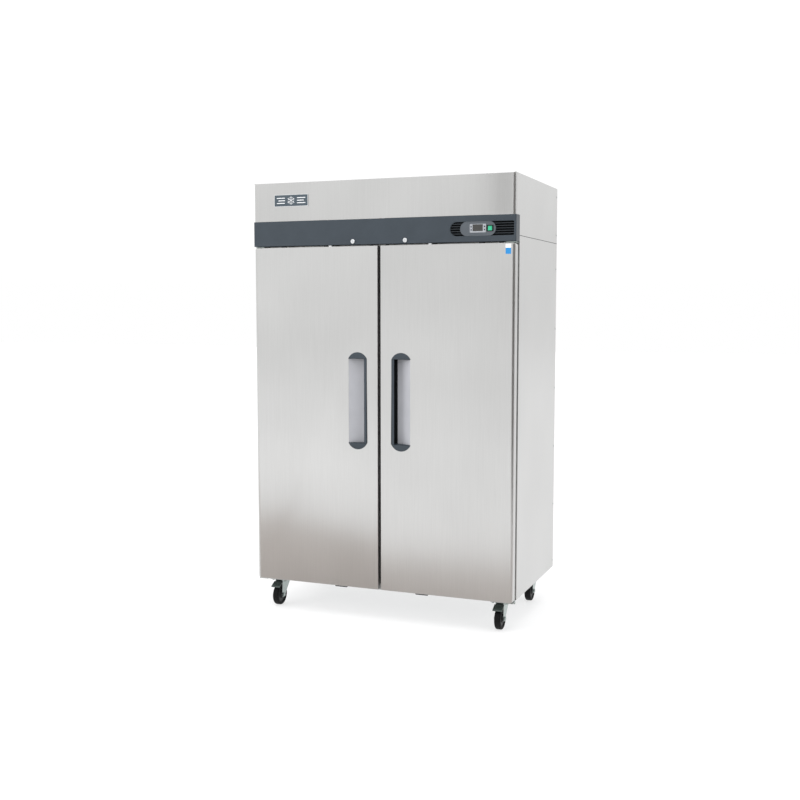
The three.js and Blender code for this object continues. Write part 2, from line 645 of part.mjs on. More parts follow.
// Fork: swivel head with its kingpin, crown, two legs and the axle.
function casterFork(braked) {
  const head = rod('z', 29, CROWN + 2, PLATE_BOTTOM - GAP, [0, 0, 0], 20);
  const kingpin = rod('z', 6, PLATE_BOTTOM - 1, BASE_BOTTOM - 1.5, [0, 0, 0], 12);
  const crown = block(-LEG_INSIDE - 3, LEG_INSIDE + 3, CROWN_FRONT, 30, CROWN, CROWN + 3);
  const outline = [[30, CROWN + 3], [30, CROWN - 6], [-TRAIL + 13, WHEEL_R - 9],
    [-TRAIL + 4, WHEEL_R - 13], [-TRAIL - 8, WHEEL_R - 11], [-TRAIL - 13, WHEEL_R - 3],
    [-TRAIL - 13, WHEEL_R + 8], [CROWN_FRONT, CROWN - 4], [CROWN_FRONT, CROWN + 3]];
  const lugs = braked ? [[-45, CROWN + 3], [-44, PEDAL_Z + 5.5], [-31, PEDAL_Z + 5.5], [-30, CROWN + 3]] : [];
    const legs = [-1, 1].map((s) => {
    const x0 = s > 0 ? LEG_INSIDE : -LEG_INSIDE - 3;
    return prismX(polygon(outline.concat(lugs)), x0, x0 + 3);
  });
  const axle = rod('x', 5, -LEG_INSIDE - 6, LEG_INSIDE + 6, [0, -TRAIL, WHEEL_R], 12);
  const parts = [head, kingpin, crown, ...legs, axle];
  if (braked) {
    parts.push(rod('x', 2.5, -LEG_INSIDE - 2, LEG_INSIDE + 2, [0, PEDAL_Y, PEDAL_Z], 10));
  }
  return join(...parts);
}

function wheel() {
  const half = WHEEL_W / 2;
  const geometry = turned([
    [5.8, -half], [17, -half], [19, -half + 6], [36, -half + 6], [38, -half], [46, -half],
    [WHEEL_R, -half + 7], [WHEEL_R, half - 7], [46, half], [38, half], [36, half - 6],
    [19, half - 6], [17, half], [5.8, half],
  ], 20);
  geometry.rotateZ(Math.PI / 2);
  return solid(geometry);
}

// Pedal of the wheel brake: a pivot sleeve between the legs and a tread plate in front.
function brakePedal() {
  const sleeve = rod('x', 5, -LEG_INSIDE + 1, LEG_INSIDE - 1, [0, 0, 0], 12);
  const stem = prismX(polygon([[-2, -4.5], [-2, 2.5], [-16, 0], [-16, -3]]), -LEG_INSIDE + 1, LEG_INSIDE - 1);
  const tread = prismX(polygon([[-13, -4], [-13, -0.5], [-44, -16], [-48, -23], [-45, -24], [-42, -19.5]]), -23, 23);
  const bore = rod('x', 3, -30, 30, [0, 0, 0], 12);
  return cut(join(sleeve, stem, tread), bore);
}

function caster(name, [x, y], braked) {
  const group = new THREE.Group();
  group.add(piece(`caster_fork_${name}`, casterFork(braked), zinc));
  group.add(place(piece(`caster_wheel_${name}`, wheel(), tyreBlack), 0, -TRAIL, WHEEL_R));
  if (braked) {
    group.add(place(piece(`brake_pedal_${name}`, brakePedal(), zinc), 0, PEDAL_Y, PEDAL_Z));
  }
  return place(group, x, y, 0);
}

// ---------------------------------------------------------------- assembly

const refrigerator = new THREE.Group();
refrigerator.add(basePan(), backPanel(), topDeck(), insulation(), innerLiner(), faceFrame());
refrigerator.add(hoodFront(), controlFascia(), temperatureController(), controllerKeys(), rockerSwitch());
refrigerator.add(compressor(), condenser(), fanShroud(), electricalBox());
refrigerator.add(evaporator(), evaporatorCover(), ledLight());

for (const [name, side] of sides) {
  refrigerator.add(sidePanel(name, side), hoodSide(name, side), lockPlug(name, side));
  refrigerator.add(hingeBracket('top', name, side), hingeBracket('bottom', name, side));
  refrigerator.add(doorGroup(name, side));
  SHELF_LEVELS.forEach((z, n) => refrigerator.add(shelf(`shelf_${name}_${n + 1}`, side, z)));
  const evaporatorFan = fan(`evaporator_fan_${name}`, 62, 20, 5, 16, greyPlastic);
  refrigerator.add(place(evaporatorFan, side * EVAPORATOR.fanX, EVAPORATOR.y - 51, EVAPORATOR.fanZ));
}

const condenserFan = fan('condenser_fan', 98, 28, 4, 26, fins);
refrigerator.add(place(condenserFan, CONDENSER.x, CONDENSER.y + CONDENSER.deep + 22, FAN_Z));

const casterNames = ['front_left', 'front_right', 'rear_left', 'rear_right'];
casterSpots().forEach((spot, n) => refrigerator.add(caster(casterNames[n], spot, n < 2)));

export default refrigerator;
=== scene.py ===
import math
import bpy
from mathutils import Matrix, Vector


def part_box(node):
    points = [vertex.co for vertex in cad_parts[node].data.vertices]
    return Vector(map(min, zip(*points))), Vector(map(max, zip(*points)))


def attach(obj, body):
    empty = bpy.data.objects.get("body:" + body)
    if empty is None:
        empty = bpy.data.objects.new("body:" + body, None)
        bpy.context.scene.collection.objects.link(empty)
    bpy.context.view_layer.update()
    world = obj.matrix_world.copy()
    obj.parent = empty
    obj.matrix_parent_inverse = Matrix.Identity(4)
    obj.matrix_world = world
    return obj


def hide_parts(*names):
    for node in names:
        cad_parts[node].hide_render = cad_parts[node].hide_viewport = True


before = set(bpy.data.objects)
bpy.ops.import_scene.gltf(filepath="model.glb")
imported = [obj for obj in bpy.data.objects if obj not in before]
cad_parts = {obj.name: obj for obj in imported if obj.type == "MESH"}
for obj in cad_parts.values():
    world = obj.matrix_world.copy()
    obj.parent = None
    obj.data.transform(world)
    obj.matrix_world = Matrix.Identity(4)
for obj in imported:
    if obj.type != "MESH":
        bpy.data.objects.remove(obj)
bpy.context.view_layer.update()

# %% [markdown]
# # A two-door reach-in refrigerator
# The moving frame is already loaded: every sheet-metal part, door, wheel and key is there as a plain
# solid in its real place. This notebook gives each of them its finished shape and its material, one
# piece at a time, and takes its places from the loaded parts.

MM = 0.001

# %% [markdown]
# ## Materials
# A material is a small graph of nodes. One function adds a node, sets its values and links it, so
# each material below reads like a recipe. Colours are written as the eye sees them on a screen, in
# sRGB hex, and one function turns them into the linear numbers that the renderer needs.

# %% Helpers for materials
def linear(hexcode):
    values = [int(hexcode[i:i + 2], 16) / 255 for i in (0, 2, 4)]
    return tuple(v / 12.92 if v <= 0.04045 else ((v + 0.055) / 1.055) ** 2.4 for v in values) + (1.0,)


def add_node(tree, kind, links=None, values=None, stops=(), **settings):
    node = tree.nodes.new(kind)
    for name, value in settings.items():
        setattr(node, name, value)
    for socket, value in (values or {}).items():
        node.inputs[socket].default_value = value
    for socket, source in (links or {}).items():
        tree.links.new(source, node.inputs[socket])
    for number, (position, colour) in enumerate(stops):
        if number > 1:
            node.color_ramp.elements.new(1.0)
        node.color_ramp.elements[number].position = position
        node.color_ramp.elements[number].color = colour
    return node


def new_material(name):
    material = bpy.data.materials.new(name)
    material.use_nodes = True
    tree = material.node_tree
    shader = tree.nodes["Principled BSDF"]
    place = add_node(tree, "ShaderNodeTexCoord").outputs["Object"]
    return material, tree, shader, place

# %% [markdown]
# ### Brushed stainless steel
# The doors, hood and sides are 304 stainless with a No. 4 finish: a belt drags fine scratches along
# the sheet, here upwards. A scratched metal spreads reflections across the scratches, so the shader
# is anisotropic and its tangent lies level. Real scratches are about 0.2 mm apart, too fine for a
# whole refrigerator in one picture, so they are drawn 1.5 mm apart, with a cloud 0.4 m wide for
# the slow unevenness of rolled sheet.

# %% Brushed metals
SCRATCH_GAP = 1.5 * MM
SCRATCH_STRETCH = 120      # how many times longer than wide a scratch is
SHEET_CLOUD = 0.4


def brushed_metal(name, dark, light, rough, cloud_bump):
    material, tree, shader, place = new_material(name)
    across = 1 / SCRATCH_GAP
    scratch = add_node(tree, "ShaderNodeMapping", {"Vector": place},
                       {"Scale": (across, across, across / SCRATCH_STRETCH)})
    grain = add_node(tree, "ShaderNodeTexNoise", {"Vector": scratch.outputs["Vector"]},
                     {"Scale": 1.0, "Detail": 4.0, "Roughness": 0.6})
    cloud = add_node(tree, "ShaderNodeTexNoise", {"Vector": place},
                     {"Scale": 1 / SHEET_CLOUD, "Detail": 1.0})
    tone = add_node(tree, "ShaderNodeMath", {0: grain.outputs["Fac"], 1: cloud.outputs["Fac"]},
                    operation="ADD")
    half_tone = add_node(tree, "ShaderNodeMath", {0: tone.outputs["Value"]}, {1: 0.5},
                         operation="MULTIPLY")
    colour = add_node(tree, "ShaderNodeValToRGB", {"Fac": half_tone.outputs["Value"]},
                      stops=[(0.3, linear(dark)), (0.7, linear(light))])
    tree.links.new(colour.outputs["Color"], shader.inputs["Base Color"])
    gloss = add_node(tree, "ShaderNodeMapRange", {"Value": half_tone.outputs["Value"]},
                     {"To Min": rough - 0.05, "To Max": rough + 0.05})
    tree.links.new(gloss.outputs["Result"], shader.inputs["Roughness"])
    shader.inputs["Metallic"].default_value = 1.0
    shader.inputs["Anisotropic"].default_value = 0.6
    level = add_node(tree, "ShaderNodeTangent", direction_type="RADIAL", axis="Z")
    tree.links.new(level.outputs["Tangent"], shader.inputs["Tangent"])
    wave = add_node(tree, "ShaderNodeBump", {"Height": cloud.outputs["Fac"]},
                    {"Strength": cloud_bump, "Distance": 20 * MM})
    fine = add_node(tree, "ShaderNodeBump", {"Height": grain.outputs["Fac"],
                                             "Normal": wave.outputs["Normal"]},
                    {"Strength": 0.05, "Distance": 0.3 * MM})
    tree.links.new(fine.outputs["Normal"], shader.inputs["Normal"])
    return material


stainless = brushed_metal("stainless_304_brushed", "C4C4C3", "D0D0CF", 0.30, 0.015)
stainless_lining = brushed_metal("stainless_430_lining", "C4C5C5", "D4D5D4", 0.36, 0.05)
print("brushed metals ready")

# %% [markdown]
# ### Plated and bare metals
# Galvanised sheet shows the zinc's crystals, its spangle, as patches about 9 mm wide. Bright zinc
# plating on pressed steel is smoother and a little blue-green, with a soft mottle. Copper tube is
# warm, browner where a torch was near. Chrome and mill-finish aluminium only need a faint mottle.

# %% Galvanised, zinc, aluminium, copper and chrome
def patched_metal(name, dark, light, rough, patch_mm, bump=0.05):
    material, tree, shader, place = new_material(name)
    cells = add_node(tree, "ShaderNodeTexVoronoi", {"Vector": place},
                     {"Scale": 1 / (patch_mm * MM)})
    mottle = add_node(tree, "ShaderNodeTexNoise", {"Vector": place},
                      {"Scale": 3 / (patch_mm * MM), "Detail": 4.0})
    mixed = add_node(tree, "ShaderNodeMixRGB", {"Color1": cells.outputs["Color"],
                                                "Color2": mottle.outputs["Color"]}, {"Fac": 0.5})
    grey = add_node(tree, "ShaderNodeRGBToBW", {"Color": mixed.outputs["Color"]}).outputs["Val"]
    colour = add_node(tree, "ShaderNodeValToRGB", {"Fac": grey},
                      stops=[(0.3, linear(dark)), (0.7, linear(light))])
    tree.links.new(colour.outputs["Color"], shader.inputs["Base Color"])
    gloss = add_node(tree, "ShaderNodeMapRange", {"Value": grey},
                     {"To Min": rough - 0.06, "To Max": rough + 0.06})
    tree.links.new(gloss.outputs["Result"], shader.inputs["Roughness"])
    shader.inputs["Metallic"].default_value = 1.0
    relief = add_node(tree, "ShaderNodeBump", {"Height": grey},
                      {"Strength": bump, "Distance": 0.2 * MM})
    tree.links.new(relief.outputs["Normal"], shader.inputs["Normal"])
    return material


galvanised = patched_metal("galvanised_steel_spangle", "ABB0B2", "BDC1C3", 0.42, 9, 0.03)
zinc_plate = patched_metal("zinc_plated_steel", "A5AFAC", "B5BEBB", 0.32, 6, 0.02)
fin_aluminium = patched_metal("mill_finish_aluminium", "C4C7C9", "DADCDD", 0.35, 20, 0.02)
copper = patched_metal("copper_tube_drawn", "A9643F", "D08A63", 0.28, 30, 0.02)
chrome = patched_metal("chrome_plate_polished", "DCDEE0", "EAECEE", 0.12, 25, 0.01)
print("plated and bare metals ready")

# %% [markdown]
# ### Plastics, rubbers, paint and ink
# Moulded ABS has a spark-eroded grain about 0.6 mm wide that dulls it evenly. Rubber is rougher,
# with a dusty bloom. Enamel on the compressor is smooth but thick, so it has orange peel. They are
# one recipe with different grain, gloss and colour, and a slow cloud of tone 80 mm wide.

# %% Moulded and coated materials
TONE_CLOUD = 0.08


def moulded(name, dark, light, rough, grain_mm, bump=0.12, coat=0.0, ior=1.5, specular=0.5):
    material, tree, shader, place = new_material(name)
    grain = add_node(tree, "ShaderNodeTexNoise", {"Vector": place},
                     {"Scale": 1 / (grain_mm * MM), "Detail": 3.0})
    cloud = add_node(tree, "ShaderNodeTexNoise", {"Vector": place},
                     {"Scale": 1 / TONE_CLOUD, "Detail": 3.0})
    colour = add_node(tree, "ShaderNodeValToRGB", {"Fac": cloud.outputs["Fac"]},
                      stops=[(0.3, linear(dark)), (0.7, linear(light))])
    tree.links.new(colour.outputs["Color"], shader.inputs["Base Color"])
    gloss = add_node(tree, "ShaderNodeMapRange", {"Value": grain.outputs["Fac"]},
                     {"To Min": rough - 0.06, "To Max": rough + 0.06})
    tree.links.new(gloss.outputs["Result"], shader.inputs["Roughness"])
    shader.inputs["IOR"].default_value = ior
    shader.inputs["Specular IOR Level"].default_value = specular
    shader.inputs["Coat Weight"].default_value = coat
    relief = add_node(tree, "ShaderNodeBump", {"Height": grain.outputs["Fac"]},
                      {"Strength": bump, "Distance": 0.3 * MM})
    tree.links.new(relief.outputs["Normal"], shader.inputs["Normal"])
    return material


abs_charcoal = moulded("abs_charcoal_grained", "2A333B", "2F3840", 0.42, 0.6)
abs_plate = moulded("abs_mid_grey_plate", "474D53", "4F555B", 0.40, 0.6)
abs_light = moulded("abs_light_grey", "8F9297", "9B9EA3", 0.42, 0.6)
# Black ABS for small parts, also laid in the pull troughs behind the bar as painted shade.
black_abs_and_trough_shade = moulded("black_abs_and_trough_shade", "101213", "181A1C", 0.42, 0.6, specular=0.3)
abs_white = moulded("polystyrene_white_liner", "E0E0DC", "E4E4E0", 0.35, 0.8, 0.04)
# Dark PVC for the inner doors' rims, also laid in the hood seams as painted shade.
pvc_trim_and_seam_shade = moulded("pvc_dark_edge_trim_and_seam_shade", "26282A", "303234", 0.55, 1.0, specular=0.3)
pvc_gasket = moulded("pvc_gasket_grey", "1F2123", "282A2C", 0.60, 1.0, specular=0.3)
tyre_rubber = moulded("wheel_rubber_black", "040505", "090A0A", 0.60, 1.2, 0.2, specular=0.2)
nylon_hub = moulded("nylon_hub_black", "141516", "1E2021", 0.42, 0.8, specular=0.4)
pedal_paint = moulded("pedal_enamel_grey_green", "38423F", "434D49", 0.38, 1.5, 0.05)
trough_coat = moulded("powder_coat_light_grey", "ADAEB3", "B3B4B9", 0.45, 1.0, 0.05)
# A darker copy of the fascia's charcoal for the inlet blades: painted shade for blades sunk in the
# recess.
blade_painted_shade = moulded("abs_charcoal_painted_shade", "171D22", "1D242A", 0.5, 0.6)
black_enamel = moulded("black_enamel_orange_peel", "0D0E0F", "151617", 0.22, 2.5, 0.08, 0.4)
epoxy_coat = moulded("epoxy_coated_wire", "D5D8D6", "E4E6E4", 0.32, 1.5, 0.1, 0.2)
foam_fill = moulded("polyurethane_foam_cut", "D9C27A", "E6D397", 0.85, 1.5, 0.5)
filter_foam = moulded("open_cell_filter_foam", "07090A", "121416", 0.95, 1.6, 0.9, specular=0.1)
white_ink = moulded("screen_print_white", "E4E6E8", "F0F1F2", 0.40, 0.8, 0.02)
blue_ink = moulded("label_film_blue", "1478BA", "2186C8", 0.35, 0.8, 0.02)
black_glass = moulded("display_window_black", "20201F", "2B2B29", 0.12, 3.0, 0.0, 0.5, 1.52)
badge_enamel = moulded("badge_enamel_dark", "33404A", "3D4A52", 0.25, 2.0, 0.02, 0.4)
green_lens = moulded("polycarbonate_green_lens", "0E8F66", "1FB284", 0.22, 4.0, 0.02, 0.3, 1.58)
opal_lens = moulded("opal_acrylic_lens", "F0F1EE", "FAFAF8", 0.30, 4.0, 0.02)
print("plastics, rubbers, paints and inks ready")

# %% [markdown]
# ### The lit rocker
# The rocker is clear green polycarbonate with a lamp behind it, so it glows a little.

# %% Glow in the green lens
lens_shader = green_lens.node_tree.nodes["Principled BSDF"]
lens_shader.inputs["Emission Color"].default_value = linear("1FAE84")
lens_shader.inputs["Emission Strength"].default_value = 0.15

# %% [markdown]
# ## Modelling tools
# The pieces are made the way a person makes them: add a primitive at its size and place, go into
# edit mode, select some of it, and bevel, inset or extrude. These few helpers do the selecting,
# so that each piece below says only what is done to it. Lengths are in metres, and a size given
# in millimetres is multiplied by MM.

# %% Helpers: start, select and place
AXES = "xyz"
TURN = {"x": (0, math.pi / 2, 0), "y": (math.pi / 2, 0, 0), "z": (0, 0, 0)}


def deselect_all():
    active = bpy.context.view_layer.objects.active
    if active and active.mode != "OBJECT":
        bpy.ops.object.mode_set(mode="OBJECT")
    bpy.ops.object.select_all(action="DESELECT")


def work_on(obj):
    deselect_all()
    obj.select_set(True)
    bpy.context.view_layer.objects.active = obj
    return obj


def settle(obj, name=None):
    work_on(obj)
    bpy.ops.object.transform_apply(location=True, rotation=True, scale=True)
    if name:
        obj.name = name
        obj.data.name = name
    return obj


def block(name, low, high):
    low, high = Vector(low), Vector(high)
    deselect_all()
    bpy.ops.mesh.primitive_cube_add(size=1, location=(low + high) / 2)
    bpy.context.object.scale = [abs(v) for v in high - low]
    return settle(bpy.context.object, name)


def rod(name, axis, radius, start, end, centre, sides=32):
    middle = Vector(centre)
    middle[AXES.index(axis)] = (start + end) / 2
    deselect_all()
    bpy.ops.mesh.primitive_cylinder_add(vertices=sides, radius=radius, depth=abs(end - start),
                                        location=middle, rotation=TURN[axis])
    return settle(bpy.context.object, name)


def select(obj, kind, test):
    """Leaves obj in edit mode with the faces or edges chosen by their middle and direction."""
    work_on(obj)
    bpy.ops.object.mode_set(mode="EDIT")
    bpy.ops.mesh.select_mode(type=kind)
    bpy.ops.mesh.select_all(action="DESELECT")
    bpy.ops.object.mode_set(mode="OBJECT")
    mesh = obj.data
    if kind == "FACE":
        for face in mesh.polygons:
            face.select = test(face.center, face.normal)
    else:
        for edge in mesh.edges:
            a, b = (mesh.vertices[i].co for i in edge.vertices)
            edge.select = test((a + b) / 2, (b - a).normalized())
    bpy.ops.object.mode_set(mode="EDIT")


def object_mode():
    bpy.ops.object.mode_set(mode="OBJECT")

# %% Helpers: ways to choose faces and edges
def facing(axis, sign, at=None):
    """Faces that look along an axis, at a given place on it if one is given."""
    i = AXES.index(axis)
    return lambda c, n: n[i] * sign > 0.99 and (at is None or abs(c[i] - at) < 0.4 * MM)


def along(axis, **at):
    """Edges that run along an axis, at given places on the other axes."""
    i = AXES.index(axis)
    places = [(AXES.index(a), v) for a, v in at.items()]
    return lambda c, d: abs(d[i]) > 0.99 and all(abs(c[j] - v) < 0.4 * MM for j, v in places)


def extrude(x=0.0, y=0.0, z=0.0):
    bpy.ops.mesh.extrude_region_move(TRANSFORM_OT_translate={"value": (x, y, z)})

# %% Helpers: finish a shape
def modify(obj, kind, **settings):
    work_on(obj)
    modifier = obj.modifiers.new(kind.title(), kind)
    for name, value in settings.items():
        setattr(modifier, name, value)
    bpy.ops.object.modifier_apply(modifier=modifier.name)
    return obj


def round_edges(obj, radius, segments, test, kind="EDGE"):
    """Rounds the edges that pass, or, with kind FACE, the edges of the faces that pass."""
    select(obj, kind, test)
    bpy.ops.mesh.bevel(offset=radius, segments=segments, affect="EDGES")
    object_mode()
    return obj


def inset_faces(obj, test, *steps):
    """Insets the faces that pass, once for each pair of thickness and depth."""
    select(obj, "FACE", test)
    for thickness, depth in steps:
        bpy.ops.mesh.inset(thickness=thickness, depth=depth)
    object_mode()
    return obj


def everything(centre, direction):
    return True


def sliced(obj, place, normal, drop=False):
    """Cuts obj at a plane. With drop, the side behind the plane goes and the cut is closed."""
    select(obj, "FACE", everything)
    bpy.ops.mesh.bisect(plane_co=place, plane_no=normal, clear_inner=drop, use_fill=drop)
    object_mode()
    return obj


def faced(obj, operator, **settings):
    """Runs an operator that turns faces, on the whole of obj."""
    select(obj, "FACE", everything)
    operator(**settings)
    object_mode()
    return obj


def fold_edges(obj, width, segments, rules):
    """Bevels each edge by its own share of one width, as folds of different radii meet at a corner."""
    weights = obj.data.attributes.new("bevel_weight_edge", "FLOAT", "EDGE")
    for edge in obj.data.edges:
        a, b = (obj.data.vertices[i].co for i in edge.vertices)
        shares = [share for test, share in rules if test((a + b) / 2, (b - a).normalized())]
        weights.data[edge.index].value = shares[0] if shares else 0.0
    return modify(obj, "BEVEL", width=width, segments=segments, limit_method="WEIGHT")


def open_shell(obj, wall, *tests):
    """Deletes the faces that pass and gives what is left a wall that grows inwards."""
    select(obj, "FACE", lambda c, n: any(test(c, n) for test in tests))
    bpy.ops.mesh.delete(type="FACE")
    object_mode()
    return modify(obj, "SOLIDIFY", thickness=wall, offset=-1, use_even_offset=True)


def combine(obj, other, operation="DIFFERENCE"):
    modify(obj, "BOOLEAN", object=other, operation=operation, solver="EXACT")
    bpy.data.objects.remove(other)
    return obj


def soften(obj, width, segments=2):
    """Bevels every edge where two faces meet at more than 30 degrees."""
    return modify(obj, "BEVEL", width=width, segments=segments, limit_method="ANGLE",
                  angle_limit=math.radians(30))


def smooth(obj, angle=35):
    work_on(obj)
    bpy.ops.object.shade_smooth_by_angle(angle=math.radians(angle))
    return modify(obj, "WEIGHTED_NORMAL", keep_sharp=True)

# %% Helpers: rows, copies and turns
def repeated(obj, count, x=0.0, y=0.0, z=0.0):
    return modify(obj, "ARRAY", count=count, use_relative_offset=False, use_constant_offset=True,
                  constant_offset_displace=(x, y, z))


def joined(name, *objects):
    deselect_all()
    for obj in objects:
        obj.select_set(True)
    bpy.context.view_layer.objects.active = objects[0]
    if len(objects) > 1:
        bpy.ops.object.join()
    return settle(bpy.context.object, name)


def duplicate(obj):
    twin = obj.copy()
    twin.data = obj.data.copy()
    bpy.context.scene.collection.objects.link(twin)
    return twin


def copied(obj, x=0.0, y=0.0, z=0.0):
    twin = duplicate(obj)
    twin.location = (x, y, z)
    return settle(twin)


def copies_at(name, pattern, places):
    """Sets a copy of a pattern at each place, drops the pattern and joins the copies."""
    copies = [copied(pattern, *place) for place in places]
    bpy.data.objects.remove(pattern)
    return joined(name, *copies)


def mirrored(obj):
    """A copy on the other side of the middle, with its faces turned out again."""
    twin = duplicate(obj)
    twin.scale.x = -1
    return faced(settle(twin), bpy.ops.mesh.normals_make_consistent, inside=False)


def turned(obj, axis, degrees, centre=(0, 0, 0)):
    """Turns obj about a line through centre and keeps the turn in its mesh."""
    turn = Matrix.Rotation(math.radians(degrees), 4, axis.upper())
    obj.matrix_world = Matrix.Translation(centre) @ turn @ Matrix.Translation(-Vector(centre))
    return settle(obj)

# %% Helpers: finish a piece and hand it to the moving frame
def painted(obj, material, test=None):
    """Gives obj its material, or only the faces whose middle and normal pass."""
    if test is None:
        obj.data.materials.clear()
        obj.data.materials.append(material)
        return obj
    obj.data.materials.append(material)
    number = len(obj.data.materials) - 1
    for face in obj.data.polygons:
        if test(face.center, face.normal):
            face.material_index = number
    return obj


def trim(obj, material, width, segments=2):
    """The last touches on a small part: its finish, softened edges and smooth shading."""
    return smooth(soften(painted(obj, material), width, segments))


def finished(piece, name, body, slot, *nodes):
    settle(piece, name)
    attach(piece, body)
    if nodes:
        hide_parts(*nodes)
    print(f"{name}: {len(piece.data.polygons)} faces, rides on {body}")
    return piece


def finished_pair(piece, name, body, slot, *nodes):
    """Finishes a right-hand piece and its mirror image; {} in a name stands for the side."""
    twin = mirrored(piece)
    for side, obj in (("left", twin), ("right", piece)):
        finished(obj, name.format(side), body.format(side), slot, *[n.format(side) for n in nodes])


def softened_copy(node, bevel_mm, segments=2):
    """A copy of a loaded part with its triangles merged into faces and its edges softened."""
    piece = duplicate(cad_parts[node])
    for tag in [key for key in piece.keys() if key.startswith("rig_")]:
        del piece[tag]
    piece.parent = None
    settle(piece)
    bpy.ops.object.mode_set(mode="EDIT")
    bpy.ops.mesh.select_all(action="SELECT")
    bpy.ops.mesh.remove_doubles(threshold=0.01 * MM)
    bpy.ops.mesh.dissolve_limited(angle_limit=math.radians(1))
    object_mode()
    return smooth(soften(piece, bevel_mm * MM, segments))

# %% [markdown]
# ## Camera, light and floor
# The camera stands to the right of the doors at chest height. Steel shows mostly what stands around
# it, so the studio is drawn as one: a bright sky, brighter overhead, two softboxes, and a floor of
# opal acrylic lit from below, as catalogue studios have. Two dark flags and a warm card that only
# reflections can see give the folds and the hood's right end their dark bands, and the foot of the
# doors its deeper, warmer tone.

# %% Camera
CAMERA_PLACE = (1.9489, -5.0176, 1.4937)
LOOK_DOWN = 4.977          # degrees below level
LOOK_LEFT = 21.67          # degrees off straight ahead
deselect_all()
bpy.ops.object.camera_add(location=CAMERA_PLACE,
                          rotation=(math.radians(90 - LOOK_DOWN), 0, math.radians(LOOK_LEFT)))
camera = bpy.context.object
camera.data.lens = 48.426
camera.data.sensor_width = 36
bpy.context.scene.camera = camera
print("camera", CAMERA_PLACE)

# %% Floor and flags
floor_sheet = moulded("studio_floor_opal", "989898", "9C9C9C", 0.7, 30, 0.0)
floor_shader = floor_sheet.node_tree.nodes["Principled BSDF"]
floor_shader.inputs["Emission Color"].default_value = linear("FFFFFF")
floor_shader.inputs["Emission Strength"].default_value = 0.65
deselect_all()
bpy.ops.mesh.primitive_plane_add(size=60)
floor = painted(settle(bpy.context.object, "floor"), floor_sheet)
flag_cloth = moulded("flag_cloth_dark", "4A4743", "524F4B", 0.9, 20, 0.0)
warm_card = moulded("reflector_card_warm", "AEA7A2", "B4ADA8", 0.9, 20, 0.0)
low_card = painted(block("low_card", (-3.6, -1.5, 0.01), (2.2, -0.45, 0.03)), warm_card)
side_flag = painted(block("side_flag", (2.6, -12.0, 0.0), (2.62, -0.9, 3.2)), flag_cloth)
hood_flag = painted(block("hood_flag", (0.478, -0.732, 1.91), (0.525, -0.73, 2.3)), flag_cloth)
for flag in (low_card, side_flag, hood_flag):
    flag.visible_camera = False
    flag.visible_diffuse = False
    flag.visible_shadow = False

# %% Sky and softboxes
world = bpy.data.worlds.new("soft_studio")
bpy.context.scene.world = world
world.use_nodes = True
sky = world.node_tree
direction = add_node(sky, "ShaderNodeTexCoord").outputs["Generated"]
height = add_node(sky, "ShaderNodeSeparateXYZ", {"Vector": direction}).outputs["Z"]
HORIZON, ABOVE, OVERHEAD = (1, 1, 1, 1), (1.08, 1.08, 1.08, 1), (1.4, 1.4, 1.42, 1)
tones = add_node(sky, "ShaderNodeValToRGB", {"Fac": height},
                 stops=[(0.02, HORIZON), (0.12, ABOVE), (1.0, OVERHEAD)])
sky.links.new(tones.outputs["Color"], sky.nodes["Background"].inputs["Color"])


def softbox(name, place, aim, size, power):
    deselect_all()
    bpy.ops.object.light_add(type="AREA", location=place)
    lamp = bpy.context.object
    lamp.name = name
    lamp.data.size = size
    lamp.data.energy = power
    lamp.visible_glossy = False
    lamp.rotation_euler = (Vector(aim) - Vector(place)).to_track_quat("-Z", "Y").to_euler()


softbox("overhead_softbox", (0.5, -1.5, 4.6), (0, 0, 0.8), 3.0, 60)
softbox("left_softbox", (-4.0, -4.2, 2.2), (0, 0, 1.0), 2.4, 80)
bpy.context.scene.view_settings.view_transform = "Standard"
print("camera, floor and lamps ready")


# %% [markdown]
# ## The doors
# A door is three layers: a stainless pan folded from one sheet, a foamed plastic inner door, and a
# magnetic gasket. First come the shared measures, nearly all read from the loaded parts.

# %% Shared measures
SHEET = 1.5 * MM
door_low, door_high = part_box("door_skin_right")
FRONT = door_low.y
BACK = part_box("back_panel")[1].y
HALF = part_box("side_panel_right")[1].x
pull_low, pull_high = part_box("handle_bezel_right")
trough_low, trough_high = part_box("handle_pocket_right")
BAR = 13.5 * MM            # width of the bar that the fingers hook behind
CLEARANCE = 0.3 * MM       # what touching parts keep between them
LEDGE_LOW = trough_low.z - CLEARANCE
LEDGE_HIGH = trough_high.z + CLEARANCE
CAP_HEIGHT = pull_high.z - LEDGE_HIGH
pull_middle = (pull_low.x + pull_high.x) / 2
cap_radius = (((pull_high.x - pull_low.x) / 2) ** 2 + CAP_HEIGHT ** 2) / (2 * CAP_HEIGHT)
print("door front at y", round(FRONT, 4), "pull cap radius", round(cap_radius, 4))

# %% [markdown]
# ### The outline of a pull
# Each pull is a recess with a straight middle and two domed ends. The same outline is needed three
# times, for the bezel and for the holes in the pan and the inner door, so it is a function: a block
# for the middle, and a disc at each end cut off where the straight part begins.

# %% Pull outline
def pull_outline(name, margin, y0, y1):
    outline = block(name, (pull_low.x + margin, y0, LEDGE_LOW),
                    (pull_high.x - margin, y1, LEDGE_HIGH))
    for z, up in ((LEDGE_HIGH, 1), (LEDGE_LOW, -1)):
        centre = (pull_middle, 0, z + up * (CAP_HEIGHT - cap_radius))
        dome = rod("dome", "y", cap_radius - margin, y0, y1, centre, 160)
        combine(outline, sliced(dome, (0, 0, z), (0, 0, up), drop=True), "UNION")
    return outline

# %% [markdown]
# ### Stainless door pan
# The sheet is folded with a wide radius on the hinge side, where a person brushes past, and small
# ones on the other edges. Drawn as a box whose edges are bevelled by different shares of 19 mm; the
# back is then deleted and what is left gets the sheet's thickness.

